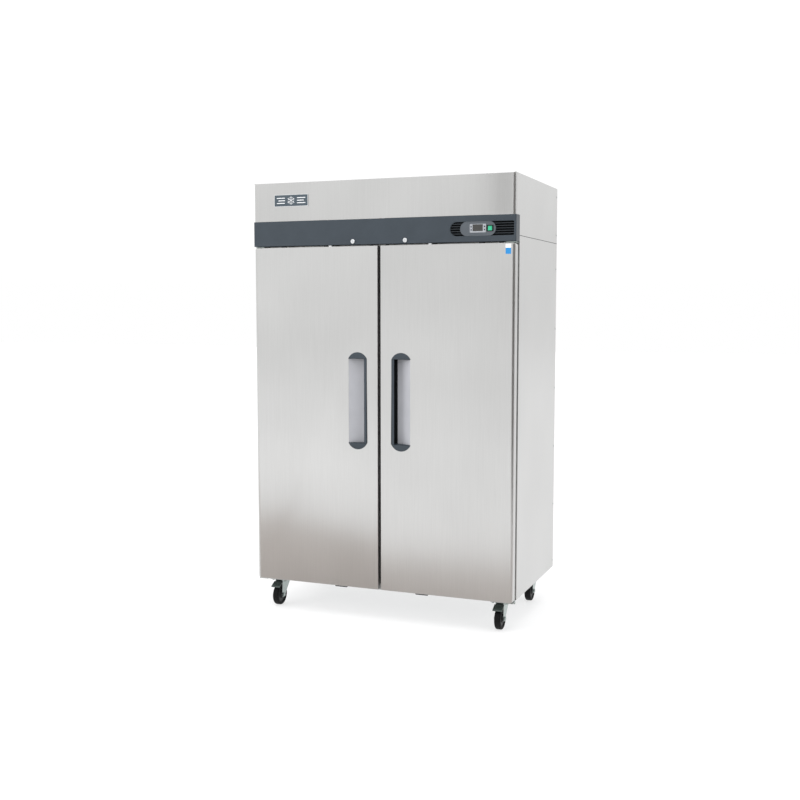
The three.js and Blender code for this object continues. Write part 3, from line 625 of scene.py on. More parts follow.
# %% Door pan
FOLD = 19 * MM
FOLD_STEPS = 10
pan = block("pan", door_low, door_high)
fold_edges(pan, FOLD, FOLD_STEPS, [
    (along("z", x=door_high.x, y=FRONT), 1.0),
    (along("y", x=door_high.x), 0.8),
    (along("z", x=door_low.x, y=FRONT), 0.2),
    (along("x", y=FRONT), 0.14),
])
open_shell(pan, SHEET, facing("y", 1, door_high.y))
combine(pan, pull_outline("pull_hole", 2 * MM, FRONT - 2 * MM, FRONT + 3 * MM))

# %% [markdown]
# ### Slots and holes that all layers share
# The lock's cam drops through a slot in the door's top edge, and the hinge pins turn in two holes.

# %% Lock slot and pin holes
cam_low, cam_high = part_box("lock_plug_right")
LOCK_RADIUS = 10.5 * MM
LOCK_X = cam_low.x + LOCK_RADIUS
LOCK_Z = (cam_low.z + cam_high.z) / 2
SLOT_FRONT, SLOT_BACK = FRONT + 16 * MM, FRONT + 23 * MM
SLOT_INSIDE = 9 * MM       # how far the slot runs past the lock's middle, towards the mullion
PIN_X, PIN_Y = 637 * MM, FRONT + 22 * MM
PIN_HOLE_RADIUS = 5.6 * MM
PIN_HOLE_DEPTH = 14 * MM


def cut_lock_and_pins(layer):
    combine(layer, block("slot", (LOCK_X - SLOT_INSIDE, SLOT_FRONT, door_high.z - 18 * MM),
                         (LOCK_X + 34 * MM, SLOT_BACK, door_high.z + 1 * MM)))
    for z in (door_low.z, door_high.z):
        combine(layer, rod("hole", "z", PIN_HOLE_RADIUS, z - PIN_HOLE_DEPTH, z + PIN_HOLE_DEPTH,
                           (PIN_X, PIN_Y, 0)))
    return layer


cut_lock_and_pins(pan)
smooth(painted(pan, stainless))
finished_pair(pan, "door_pan_{}", "{}_door", "stainless", "door_skin_{}")

# %% [markdown]
# ### Foamed inner door
# Vacuum-formed plastic: a flat rim, then a raised plug with drafted sides that fills the opening,
# and a sunk field so that the large face doesn't drum. Box, inset, extrude, inset, push back, and
# one bevel for the radii that vacuum forming always leaves.

# %% Inner door
liner_low, liner_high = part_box("door_liner_right")
gasket_low, gasket_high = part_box("door_gasket_right")
rim_back = FRONT + 45 * MM
PLUG_X0, PLUG_X1 = 42 * MM, 590 * MM
PLUG_Z0, PLUG_Z1 = 217 * MM, 1734 * MM
plug_middle = ((PLUG_X0 + PLUG_X1) / 2, liner_high.y, (PLUG_Z0 + PLUG_Z1) / 2)
DRAFT = (0.985, 1, 0.994)  # the plug's top is that much smaller than its root
inner = block("inner", liner_low, (liner_high.x, rim_back, liner_high.z))
fold_edges(inner, 9 * MM, 5, [(along("z", x=liner_high.x, y=liner_low.y), 1.0), (along("z"), 0.3)])
combine(inner, block("plug", (PLUG_X0, rim_back - 1 * MM, PLUG_Z0),
                     (PLUG_X1, liner_high.y, PLUG_Z1)), "UNION")
select(inner, "FACE", facing("y", 1, liner_high.y))
bpy.ops.transform.resize(value=DRAFT, center_override=plug_middle)
object_mode()
inset_faces(inner, facing("y", 1, liner_high.y), (46 * MM, 0), (8 * MM, -5 * MM))
combine(inner, pull_outline("cavity", -2.5 * MM, FRONT - 1 * MM, FRONT + 44.5 * MM))
cut_lock_and_pins(inner)
round_edges(inner, 4 * MM, 3, lambda c, d: c.y > rim_back + 4 * MM and abs(d.y) < 0.6)
painted(inner, abs_white)
painted(inner, pvc_trim_and_seam_shade, lambda c, n: c.y < rim_back - 1 * MM)
smooth(inner)
finished_pair(inner, "inner_door_{}", "{}_door", "white_plastic", "door_liner_{}")

# %% [markdown]
# ### Magnetic gasket
# A soft PVC hose with a magnet in its front chamber and a bellows behind. A box becomes a ring when
# its two large faces are inset and bridged; a groove round both sides makes the bellows.

# %% Gasket
seal = block("seal", gasket_low, gasket_high)
select(seal, "FACE", lambda c, n: abs(n.y) > 0.9)
bpy.ops.mesh.inset(thickness=24 * MM)
bpy.ops.mesh.bridge_edge_loops()
object_mode()
round_edges(seal, 14 * MM, 5, lambda c, d: abs(d.y) > 0.9)
inset_faces(seal, lambda c, n: abs(n.y) < 0.1, (3.2 * MM, -3.5 * MM))
round_edges(seal, 1.5 * MM, 3, lambda c, d: abs(d.y) < 0.1 and
            min(abs(c.y - gasket_low.y), abs(c.y - gasket_high.y)) < 0.1 * MM)
smooth(painted(seal, pvc_gasket))
finished_pair(seal, "gasket_{}", "{}_door", "gasket_rubber", "door_gasket_{}")

# %% [markdown]
# ### Pull bezel
# One charcoal moulding: a bar on the free side that the fingers hook behind, a domed cap at each
# end, and a ledge under each cap that closes the hollow. Outline, minus the open middle, plus the
# ledges, and a small radius all round as a mould gives.

# %% Pull bezel
trough_wall = trough_low.x
LEDGE = 5 * MM
bezel = pull_outline("bezel", 0, pull_low.y, FRONT - 0.2 * MM)
combine(bezel, block("mouth", (pull_low.x + BAR, FRONT - 9 * MM, LEDGE_LOW),
                     (pull_high.x + 9 * MM, FRONT + 9 * MM, LEDGE_HIGH)))
round_edges(bezel, 1.1 * MM, 3, facing("y", -1), "FACE")
lip = block("lip", (trough_wall, FRONT - 1 * MM, LEDGE_LOW - LEDGE),
            (pull_low.x + BAR, FRONT + 8 * MM, LEDGE_HIGH + LEDGE))
combine(bezel, round_edges(lip, 2 * MM, 4, along("z", y=FRONT + 8 * MM)), "UNION")
for z, up in ((LEDGE_HIGH, 1), (LEDGE_LOW, -1)):
    ledge = block("ledge", (trough_wall, FRONT - 1 * MM, z),
                  (pull_high.x - 6 * MM, trough_high.y - 1 * MM, z + up * LEDGE))
    combine(bezel, ledge, "UNION")
smooth(painted(bezel, abs_charcoal))
finished_pair(bezel, "pull_bezel_{}", "{}_door", "grey_plastic", "handle_bezel_{}")

# %% [markdown]
# ### Pull trough
# A powder-coated sheet that runs from the dark hollow behind the bar in one soft curve out to the
# door's face; the part of it inside the hollow is painted black, as painted shade. A strip is
# extruded edge by edge along a cosine curve, as a sheet is rolled, then thickened.

# %% Pull trough
STEPS = 28
curve_start = pull_low.x + BAR + 2 * MM
curve_end = trough_high.x
depth = trough_high.y - SHEET - FRONT
deselect_all()
bpy.ops.mesh.primitive_plane_add(size=1, rotation=(math.pi / 2, 0, 0),
                                 location=((curve_start + trough_wall) / 2, FRONT + depth,
                                           (LEDGE_LOW + LEDGE_HIGH) / 2))
trough = bpy.context.object
trough.scale = (curve_start - trough_wall, LEDGE_HIGH - LEDGE_LOW - 2 * CLEARANCE, 1)
settle(trough, "trough")
select(trough, "EDGE", along("z", x=curve_start))
previous = depth
for step in range(1, STEPS + 1):
    level = depth * math.cos(math.pi / 2 * step / STEPS)
    extrude(x=(curve_end - curve_start) / STEPS, y=level - previous)
    previous = level
object_mode()
select(trough, "EDGE", along("z", x=trough_wall, y=FRONT + depth))
extrude(y=9 * MM - depth)
object_mode()
faced(trough, bpy.ops.mesh.normals_make_consistent, inside=False)
if min(trough.data.polygons, key=lambda face: abs(face.center.x - pull_middle)).normal.y > 0:
    faced(trough, bpy.ops.mesh.flip_normals)
modify(trough, "SOLIDIFY", thickness=1.2 * MM, offset=-1, use_even_offset=True)
painted(trough, trough_coat)
# The flat floor and wall behind the bar are painted black: painted shade for the hollow under the bar.
painted(trough, black_abs_and_trough_shade, lambda c, n: c.x < curve_start + 1 * MM)
smooth(trough, 50)
finished_pair(trough, "pull_trough_{}", "{}_door", "aluminium_fins", "handle_pocket_{}")

# %% [markdown]
# ### Small parts on the doors
# A dark stop under each door, small buffers on its top edge, and a plain two-tone film label.

# %% Stops, buffers and label
stop = block("stop", (175.5 * MM, FRONT + 17 * MM, door_low.z - 9 * MM),
             (240.5 * MM, FRONT + 33 * MM, door_low.z))
round_edges(stop, 5 * MM, 4, lambda c, d: abs(d.y) > 0.9 and c.z < door_low.z - 5 * MM)
inset_faces(stop, facing("z", -1), (3 * MM, -1.5 * MM))
trim(stop, black_abs_and_trough_shade, 0.6 * MM)
finished_pair(stop, "door_stop_{}", "{}_door", "grey_plastic")

BUFFERS = ((273, 22, black_abs_and_trough_shade), (251, 15, white_ink), (497, 26, black_abs_and_trough_shade),
           (588, 18, black_abs_and_trough_shade), (40, 16, black_abs_and_trough_shade))
buffers = []
for middle_mm, width_mm, material in BUFFERS:
    x = middle_mm * MM
    pad = block("pad", (x - width_mm / 2 * MM, FRONT + 3 * MM, door_high.z),
                (x + width_mm / 2 * MM, FRONT + 14 * MM, door_high.z + 4.6 * MM))
    buffers.append(trim(pad, material, 1.2 * MM, 3))
finished_pair(joined("buffers", *buffers), "door_buffers_{}", "{}_door", "grey_plastic")

LABEL_JOIN = 1752 * MM     # the height where its blue part meets its white part
label = block("label", (609 * MM, FRONT - 0.35 * MM, 1725 * MM),
              (634 * MM, FRONT - 0.05 * MM, 1769 * MM))
sliced(label, (0, 0, LABEL_JOIN), (0, 0, 1))
round_edges(label, 2 * MM, 4, lambda c, d: abs(d.y) > 0.9 and abs(c.z - LABEL_JOIN) > 5 * MM)
painted(label, blue_ink)
painted(label, white_ink, lambda c, n: c.z > LABEL_JOIN)
finished(smooth(label), "film_label", "right_door", "white_plastic")

# %% [markdown]
# ## Hood and fascia
# Above the doors a moulded strip carries the controls and the air inlet, and a stainless hood hides
# the cooling unit. The hood's front is folded like a door pan; its sides are flat sheets.

# %% Hood front
hood_low, hood_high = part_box("hood_front")
hood = block("hood", hood_low, hood_high)
fold_edges(hood, FOLD, FOLD_STEPS, [
    (along("z", y=FRONT), 1.0),
    (along("x", y=FRONT, z=hood_high.z), 0.12),
    (along("y", z=hood_high.z), 0.12),
])
open_shell(hood, SHEET, facing("y", 1, hood_high.y), facing("z", -1, hood_low.z))
smooth(painted(hood, stainless))
finished(hood, "hood_face", "cabinet", "stainless", "hood_front")

# %% [markdown]
# ### A screw, made once
# Pan-head screws hold the outer sheets. One is modelled with its head looking up, with a cross cut
# in it, and copies of it are turned and set wherever a sheet is fastened.

# %% Screws
def pan_screw(radius=4.2 * MM):
    head = rod("screw", "z", radius, -0.5 * MM, 1.9 * MM, (0, 0, 0), 20)
    round_edges(head, 1.2 * MM, 3, lambda c, d: c.z > 1.8 * MM)
    for x, y in ((2.6 * MM, 0.6 * MM), (0.6 * MM, 2.6 * MM)):
        combine(head, block("cross", (-x, -y, 0.8 * MM), (x, y, 3 * MM)))
    return smooth(painted(head, zinc_plate))

# %% Hood sides and side panels, with a dark strip in the seam between them as painted shade, and their screws
side_low, side_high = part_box("side_panel_right")
for kind in ("hood_side", "side_panel"):
    sheet_metal = softened_copy(f"{kind}_right", 0.5)
    painted(sheet_metal, stainless)
    finished_pair(sheet_metal, kind + "_sheet_{}", "cabinet", "stainless", kind + "_{}")
# A dark strip along the joint of hood side and side panel stands in for the seam's shade: painted
# shade.
seam = block("seam", (HALF - 1 * MM, side_low.y + 1 * MM, side_high.z - 1.2 * MM),
             (HALF + 0.25 * MM, side_high.y - 1 * MM, side_high.z + 1.2 * MM))
finished_pair(painted(seam, pvc_trim_and_seam_shade), "hood_seal_{}", "cabinet", "gasket_rubber")
SIDE_SCREW_HEIGHTS = (185, 480, 780, 1080, 1380, 1680, 1850, 2040)
right_screws = copies_at("side_screws", turned(pan_screw(3.6 * MM), "y", 90),
                         [(HALF, BACK - 14 * MM, z * MM) for z in SIDE_SCREW_HEIGHTS])
finished_pair(right_screws, "side_screws_{}", "cabinet", "zinc_steel")

# %% [markdown]
# ### Back panel
# Galvanised sheet, stiffened by a pressed field. Only its rear face is inset and pushed in.

# %% Back panel
back_low, back_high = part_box("back_panel")
rear = block("rear", back_low, back_high)
PRESSED = 0.9 * MM
inset_faces(rear, facing("y", 1), (55 * MM, 0), (9 * MM, -PRESSED))
inset_faces(rear, facing("y", 1, back_high.y - PRESSED), (330 * MM, 0), (9 * MM, PRESSED))
smooth(soften(painted(rear, galvanised), 0.3 * MM), 20)
finished(rear, "rear_panel", "cabinet", "galvanised", "back_panel")
SCREW_ROWS = (175, 480, 790, 1100, 1410, 1785)
SCREW_COLUMNS = (-625, -210, 210, 625)
rear_screws = copies_at("rear_screws", turned(pan_screw(), "x", -90),
                        [(x * MM, BACK, z * MM) for z in SCREW_ROWS for x in SCREW_COLUMNS])
finished(rear_screws, "rear_screws", "cabinet", "zinc_steel")

# %% [markdown]
# ### Moulded fascia
# A charcoal strip across the whole front, hollow behind. The air inlet at its right end is a
# capsule-shaped recess, so that hole is cut first and its tray is a piece of its own.

# %% Fascia
fascia_low, fascia_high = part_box("control_fascia")
plate_low, plate_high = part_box("temperature_controller")
GRILLE_X0, GRILLE_X1 = 347 * MM, 649 * MM


def capsule(name, margin, y0, y1):
    """The inlet's outline: round at its left end, with small radii at its right end."""
    low = Vector((GRILLE_X0 + margin, y0, plate_low.z - 1.3 * MM + margin))
    high = Vector((GRILLE_X1 - margin, y1, plate_high.z + 1.3 * MM - margin))
    outline = block(name, low, high)
    round_edges(outline, (high.z - low.z) / 2 - 0.05 * MM, 20, along("y", x=low.x))
    return round_edges(outline, 6 * MM, 5, along("y", x=high.x))


fascia = block("fascia", fascia_low, fascia_high)
fold_edges(fascia, 4 * MM, 5, [(along("z", y=FRONT), 1.0), (along("x", y=FRONT), 0.5),
                               (along("y"), 0.3)])
open_shell(fascia, 2.5 * MM, facing("y", 1, fascia_high.y))
combine(fascia, capsule("inlet", 0, FRONT - 1 * MM, FRONT + 5 * MM))
for side in (-1, 1):
    combine(fascia, rod("hole", "y", 9.6 * MM, FRONT - 1 * MM, FRONT + 4 * MM,
                        (side * LOCK_X, 0, LOCK_Z)))
    combine(fascia, block("slot", (side * (LOCK_X - SLOT_INSIDE), SLOT_FRONT, fascia_low.z - 1 * MM),
                          (side * (LOCK_X + 37 * MM), SLOT_BACK, fascia_low.z + 5 * MM)))
smooth(painted(fascia, abs_charcoal))
finished(fascia, "fascia", "cabinet", "grey_plastic", "control_fascia")

# %% [markdown]
# ### Air inlet
# A shallow tray with five blades across it and dark open-cell foam behind, which keeps dust off the
# condenser. The blades are one tilted bar, repeated, cut to the tray's outline, and left out behind
# the control plate.

# %% Inlet tray, blades and filter
tray = capsule("tray", 0.1 * MM, FRONT + 0.6 * MM, FRONT + 12 * MM)
combine(tray, capsule("well", 2 * MM, FRONT - 1 * MM, FRONT + 13 * MM))
lowest_blade = Vector((0, FRONT + 4.6 * MM, 1816.8 * MM))
blade = block("blade", lowest_blade + Vector((GRILLE_X0, -3.4 * MM, -1.5 * MM)),
              lowest_blade + Vector((GRILLE_X1, 3.4 * MM, 1.5 * MM)))
turned(blade, "x", -18, lowest_blade)
repeated(blade, 5, z=11 * MM)
combine(blade, capsule("trim", 1 * MM, FRONT - 3 * MM, FRONT + 14 * MM), "INTERSECT")
combine(blade, block("plate_room", (plate_low.x + 15 * MM, FRONT, plate_low.z - 5 * MM),
                     (plate_high.x - 15 * MM, FRONT + 10 * MM, plate_high.z + 5 * MM)))
# The blades take the darker copy of the charcoal, as painted shade.
tray = joined("tray", painted(tray, abs_charcoal), painted(blade, blade_painted_shade))
smooth(soften(tray, 0.4 * MM))
finished(tray, "inlet_grille", "cabinet", "grey_plastic")
filter_pad = capsule("filter", 0.5 * MM, FRONT + 10 * MM, FRONT + 16 * MM)
finished(smooth(painted(filter_pad, filter_foam)), "inlet_filter", "cabinet", "grey_plastic")

# %% [markdown]
# ### Control plate
# A stadium-shaped plate with a raised rim. Its display window sits in a light frame, with two keys
# at each side, and the lit rocker sits in a black bay.

# %% Control plate
rocker_low, rocker_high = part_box("rocker_switch")
plate = block("plate", (plate_low.x, FRONT - 0.4 * MM, plate_low.z),
              (plate_high.x, FRONT + 9 * MM, plate_high.z))
round_edges(plate, (plate_high.z - plate_low.z) / 2 - 0.05 * MM, 24, along("y"))
inset_faces(plate, facing("y", -1), (1.6 * MM, 0), (0.6 * MM, -0.9 * MM))
bay_low = Vector((519 * MM, FRONT - 0.9 * MM, rocker_low.z - 3.2 * MM))
bay_high = Vector((552.5 * MM, FRONT + 13 * MM, rocker_high.z + 3.2 * MM))
combine(plate, block("opening", bay_low + Vector((1, -9, 1)) * MM,
                     bay_high + Vector((-1, 9, -1)) * MM))
trim(plate, abs_plate, 0.3 * MM)
finished(plate, "control_plate", "cabinet", "light_plastic", "temperature_controller")

bay = block("bay", bay_low, bay_high)
round_edges(bay, 2 * MM, 4, along("y"))
inset_faces(bay, facing("y", -1), (1.4 * MM, 0))
combine(bay, block("well", (rocker_low.x - 0.6 * MM, FRONT - 3 * MM, rocker_low.z - 1 * MM),
                   (rocker_high.x + 0.6 * MM, FRONT + 11.5 * MM, rocker_high.z + 1 * MM)))
trim(bay, black_abs_and_trough_shade, 0.3 * MM)
finished(bay, "rocker_bay", "cabinet", "grey_plastic")

# %% Display frame, window and keys
VIEW_X0, VIEW_X1 = 455 * MM, 503 * MM
VIEW_Z0, VIEW_Z1 = 1828 * MM, 1858 * MM
display = block("display", (442 * MM, FRONT - 1 * MM, 1822 * MM),
                (518 * MM, FRONT + 1.2 * MM, 1860 * MM))
round_edges(display, 3 * MM, 5, along("y"))
combine(display, block("view", (VIEW_X0, FRONT - 4 * MM, VIEW_Z0),
                       (VIEW_X1, FRONT + 4 * MM, VIEW_Z1)))
for key in ("set", "up", "defrost", "down"):
    low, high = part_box(f"key_{key}")
    middle = ((low.x + high.x) / 2, 0, (low.z + high.z) / 2)
    combine(display, rod("hole", "y", 3.5 * MM, FRONT - 4 * MM, FRONT + 4 * MM, middle))
    button = rod("button", "y", 3 * MM, FRONT - 1.5 * MM, FRONT + 4 * MM, middle, 32)
    round_edges(button, 0.7 * MM, 3, lambda c, d: c.y < FRONT - 1.4 * MM)
    finished(smooth(painted(button, abs_charcoal)), f"button_{key}", f"{key}_key", "grey_plastic",
             f"key_{key}")
trim(display, abs_light, 0.3 * MM)
finished(display, "display_frame", "cabinet", "light_plastic")
window = block("window", (VIEW_X0 - CLEARANCE, FRONT - 0.5 * MM, VIEW_Z0 - CLEARANCE),
               (VIEW_X1 + CLEARANCE, FRONT + 2 * MM, VIEW_Z1 + CLEARANCE))
finished(trim(window, black_glass, 0.4 * MM, 3), "display_window", "cabinet",
         "grey_plastic")

# %% [markdown]
# ### Rocker and locks
# The rocker keeps the loaded part's two leaning faces, with moulded edges. A lock is a chrome head
# with a turned ring and a keyway, on a barrel that carries the cam.

# %% Rocker
rocker = softened_copy("rocker_switch", 0.9, 4)
finished(painted(rocker, green_lens), "rocker_lens", "rocker", "green_plastic", "rocker_switch")

# %% Locks
head = rod("head", "y", LOCK_RADIUS, cam_low.y, FRONT - CLEARANCE, (LOCK_X, 0, LOCK_Z), 64)
round_edges(head, 1.4 * MM, 4, facing("y", -1), "FACE")
inset_faces(head, facing("y", -1, cam_low.y), (3.0 * MM, 0), (0.5 * MM, -1.0 * MM))
inset_faces(head, facing("y", -1, cam_low.y + 1.0 * MM), (0.4 * MM, 0.8 * MM))
combine(head, block("keyway", (LOCK_X - 0.8 * MM, cam_low.y - 1 * MM, LOCK_Z - 3.4 * MM),
                    (LOCK_X + 0.8 * MM, cam_low.y + 3 * MM, LOCK_Z + 3.4 * MM)))
barrel = rod("barrel", "y", 9 * MM, FRONT - 0.4 * MM, FRONT + 18.1 * MM, (LOCK_X, 0, LOCK_Z), 48)
combine(head, barrel, "UNION")
cam = block("cam", (LOCK_X - 7 * MM, FRONT + 18 * MM, LOCK_Z - 7 * MM),
            (cam_high.x, FRONT + 21 * MM, LOCK_Z + 7 * MM))
round_edges(cam, 6.5 * MM, 8, along("y"))
combine(head, cam, "UNION")
smooth(painted(head, chrome))
finished_pair(head, "lock_{}", "{}_lock", "chrome", "lock_plug_{}")

# %% [markdown]
# ### Badge
# A dark enamelled plate in a bright frame. It carries a plain snow crystal, six arms with one pair
# of barbs each, between plain strokes, which says no more than that this is a cold cabinet.

# %% Badge
badge_low = Vector((-543 * MM, FRONT - 2.6 * MM, 1968 * MM))
badge_high = Vector((-363 * MM, FRONT - 0.1 * MM, 2025 * MM))
badge = block("badge", badge_low, badge_high)
round_edges(badge, 3 * MM, 4, along("y"))
SUNK = 0.8 * MM
inset_faces(badge, facing("y", -1), (2.2 * MM, 0), (0.4 * MM, -SUNK))
painted(badge, chrome)
painted(badge, badge_enamel, facing("y", -1, badge_low.y + SUNK))
finished(smooth(badge, 20), "badge_plate", "cabinet", "grey_plastic")

badge_middle = (badge_low + badge_high) / 2
STROKES = ((12, 44), (0, 36), (-12, 44))
ARMS = 6


def on_badge(name, low_mm, high_mm):
    return block(name, badge_middle + Vector(low_mm) * MM, badge_middle + Vector(high_mm) * MM)


strokes = []
for side in (-1, 1):
    for z, length in STROKES:
        near, far = sorted((side * 32, side * (32 + length)))
        stroke = on_badge("stroke", (near, -1.15, z - 1.6), (far, -0.25, z + 1.6))
        strokes.append(round_edges(stroke, 1.4 * MM, 4, along("y")))
barb_root = badge_middle + Vector((0, 0, 11)) * MM
for turn in range(ARMS):
    arm = on_badge("arm", (-1, -1.2, 0), (1, -0.2, 20))
    barbs = [turned(on_badge("barb", (-0.8, -1.2, 11), (0.8, -0.2, 19)), "y", lean, barb_root)
             for lean in (-55, 55)]
    strokes.append(turned(joined("arm", arm, *barbs), "y", 360 / ARMS * turn, badge_middle))
motif = painted(joined("motif", *strokes), white_ink)
finished(motif, "badge_motif", "cabinet", "white_plastic")

# %% [markdown]
# ## Inside the cabinet
# The face frame, the lining with its shelf strips, wire shelves on clips, the lamp and the cold-air
# unit under the ceiling only show when a door is open, and they get the same care.

# %% Face frame and base sheets
def kept_shape(node, bevel_mm, segments, material, name, slot):
    """Finishes a softened copy of a part of the cabinet whose loaded shape is already right."""
    piece = painted(softened_copy(node, bevel_mm, segments), material)
    finished(piece, name, "cabinet", slot, node)


kept_shape("face_frame", 0.8, 2, stainless_lining, "door_frame", "stainless")
kept_shape("top_deck", 0.4, 2, galvanised, "machine_deck", "galvanised")
painted(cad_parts["insulation"], foam_fill)
kept_shape("base_pan", 0.4, 2, galvanised, "base_tray", "galvanised")

# %% [markdown]
# ### Lining
# Stainless with coved corners, so that it wipes clean. A box is rounded at 18 mm along its depth and
# round its back, opened at the front, and given a wall that grows inwards.

# %% Lining
lining_low, lining_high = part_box("inner_liner")
lining = block("lining", lining_low, lining_high)
round_edges(lining, 18 * MM, 6, lambda c, d: abs(d.y) > 0.9 or c.y > lining_high.y - 1 * MM)
open_shell(lining, SHEET, facing("y", -1, lining_low.y))
finished(smooth(painted(lining, stainless_lining)), "lining", "cabinet", "stainless", "inner_liner")

# %% [markdown]
# ### Shelf strips and clips
# Slotted strips carry the shelves on steel clips that hook in at any height. One strip is cut with
# a repeated slot, a clip is bent from a small plate, and both are copied to every place.

# %% Strips
inside_x = lining_high.x - SHEET
inside_back = lining_high.y - SHEET
STRIP_BOTTOM = 260 * MM
STRIP_LENGTH = 1240 * MM
BACK_STRIP_X = 22 * MM
SIDE_STRIP_YS = (FRONT + 140 * MM, FRONT + 630 * MM)
strip = block("strip", (-10 * MM, -10 * MM, STRIP_BOTTOM),
              (10 * MM, 0, STRIP_BOTTOM + STRIP_LENGTH))
round_edges(strip, 3 * MM, 3, along("z", y=-10 * MM))
slots = block("slots", (-4 * MM, -14 * MM, STRIP_BOTTOM + 12 * MM),
              (4 * MM, -7 * MM, STRIP_BOTTOM + 16 * MM))
SLOTS = 48
SLOT_PITCH = 25.4 * MM
repeated(slots, SLOTS, z=SLOT_PITCH)
combine(strip, slots)
smooth(painted(strip, stainless_lining))


def strip_copies(name, pattern, heights):
    """Sets a pattern on the back strip and, turned, on the side strips, at each height."""
    back_copies = [copied(pattern, BACK_STRIP_X, inside_back, z) for z in heights]
    turned(pattern, "z", -90)
    side_copies = [copied(pattern, inside_x, y, z) for z in heights for y in SIDE_STRIP_YS]
    bpy.data.objects.remove(pattern)
    return joined(name, *back_copies, *side_copies)


finished_pair(strip_copies("strips", strip, [0]), "shelf_strips_{}", "cabinet", "stainless")

# %% Clips
shelf_boxes = [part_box(f"shelf_right_{n}") for n in (1, 2, 3)]
clip = block("clip", (-7 * MM, -17 * MM, -2 * MM), (7 * MM, -8 * MM, 0))
select(clip, "FACE", facing("y", -1))
extrude(y=-2 * MM)
object_mode()
select(clip, "FACE", lambda c, n: n.z > 0.9 and c.y < -17.5 * MM)
extrude(z=4 * MM)
object_mode()
tongue = block("tongue", (-3.5 * MM, -8.5 * MM, -9 * MM), (3.5 * MM, -6.5 * MM, 0))
clip = trim(joined("clip", clip, tongue), zinc_plate, 0.4 * MM)
clip_heights = [low.z - 0.2 * MM for low, high in shelf_boxes]
finished_pair(strip_copies("clips", clip, clip_heights), "shelf_clips_{}", "cabinet", "zinc_steel")

# %% [markdown]
# ### Wire shelves
# Welded wire in white epoxy: a heavy frame, three bearers, and thin wires 26 mm apart laid over them.
# A single wire is repeated by an array; the shelf is made once and copied to its six places.

# %% Shelf
low, high = shelf_boxes[0]
heavy = 3.4 * MM
bar_z = low.z + heavy
rail_xs = (low.x + heavy, high.x - heavy)
rail_ys = (low.y + heavy, high.y - heavy)
wires = [rod("rail", "x", heavy, *rail_xs, (0, y, bar_z), 14) for y in rail_ys]
wires += [rod("rail", "y", heavy, *rail_ys, (x, 0, bar_z), 14) for x in rail_xs]
wires += [rod("corner", "z", heavy, bar_z - heavy, bar_z + heavy, (x, y, 0), 14)
          for x in rail_xs for y in rail_ys]
for share in (0.25, 0.5, 0.75):
    y = low.y + share * (high.y - low.y)
    wires.append(rod("bearer", "x", 2.4 * MM, *rail_xs, (0, y, bar_z - 1 * MM), 12))
WIRES = 20
pitch = (rail_xs[1] - rail_xs[0]) / (WIRES + 1)
thin = rod("wire", "y", 1.7 * MM, *rail_ys, (rail_xs[0] + pitch, 0, high.z - 1.8 * MM), 10)
wires.append(repeated(thin, WIRES, x=pitch))
print("wires", round(pitch / MM, 1), "mm apart")
shelf = smooth(painted(joined("shelf", *wires), epoxy_coat), 50)
for level, shelf_box in enumerate(shelf_boxes, 1):
    finished_pair(copied(shelf, z=shelf_box[0].z - low.z), f"wire_shelf_{{}}_{level}",
                  f"{{}}_shelf_{level}", "shelf_coat", f"shelf_{{}}_{level}")
bpy.data.objects.remove(shelf)

# %% [markdown]
# ### Lamp and cold-air unit
# The lamp is a white channel with an opal lens. The cold-air unit is a white cover with two fan
# guards, and inside it a finned coil with two small fans.

# %% Lamp
lamp_low, lamp_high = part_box("led_light")
kept_shape("led_light", 1.2, 3, abs_white, "lamp_channel", "white_plastic")
lens = block("lens", (lamp_low.x + 12 * MM, lamp_low.y + 8 * MM, lamp_low.z - 0.8 * MM),
             (lamp_high.x - 12 * MM, lamp_high.y - 8 * MM, lamp_low.z + 2 * MM))
finished(trim(lens, opal_lens, 0.9 * MM, 3), "lamp_lens", "cabinet", "white_plastic")

# %% Cover with fan guards
kept_shape("evaporator_cover", 0.8, 2, abs_white, "cold_air_cover", "white_plastic")
cover_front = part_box("evaporator_cover")[0].y
fan_low, fan_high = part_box("evaporator_fan_right")
fan_middle = (fan_low + fan_high) / 2


def ring(radius, thick, centre, around, sides):
    """A ring about a line along Y, with so many steps around it and sides to its wire."""
    deselect_all()
    bpy.ops.mesh.primitive_torus_add(major_radius=radius, minor_radius=thick, major_segments=around,
                                     minor_segments=sides, location=centre,
                                     rotation=(math.pi / 2, 0, 0))
    return settle(bpy.context.object, "ring")


guard_centre = (fan_middle.x, cover_front - 2.2 * MM, fan_middle.z)
guard = [ring(radius * MM, 1.1 * MM, guard_centre, 64, 8) for radius in (14, 26, 38, 50, 62, 70)]
for turn in range(4):
    spoke = rod("spoke", "x", 1.3 * MM, fan_middle.x + 12 * MM, fan_middle.x + 71 * MM,
                (0, cover_front - 1.3 * MM, fan_middle.z), 8)
    guard.append(turned(spoke, "y", 45 + 90 * turn, fan_middle))
guard = smooth(painted(joined("guard", *guard), epoxy_coat), 60)
finished_pair(guard, "fan_guard_{}", "cabinet", "shelf_coat")

# %% [markdown]
# ### Finned coils
# Both coils are the same thing in two sizes: thin aluminium fins on copper tubes that turn round
# outside the end plates. One fin is repeated by an array, and the tubes are rods with half rings.

# %% Coil
TUBE_RADIUS = 4.8 * MM


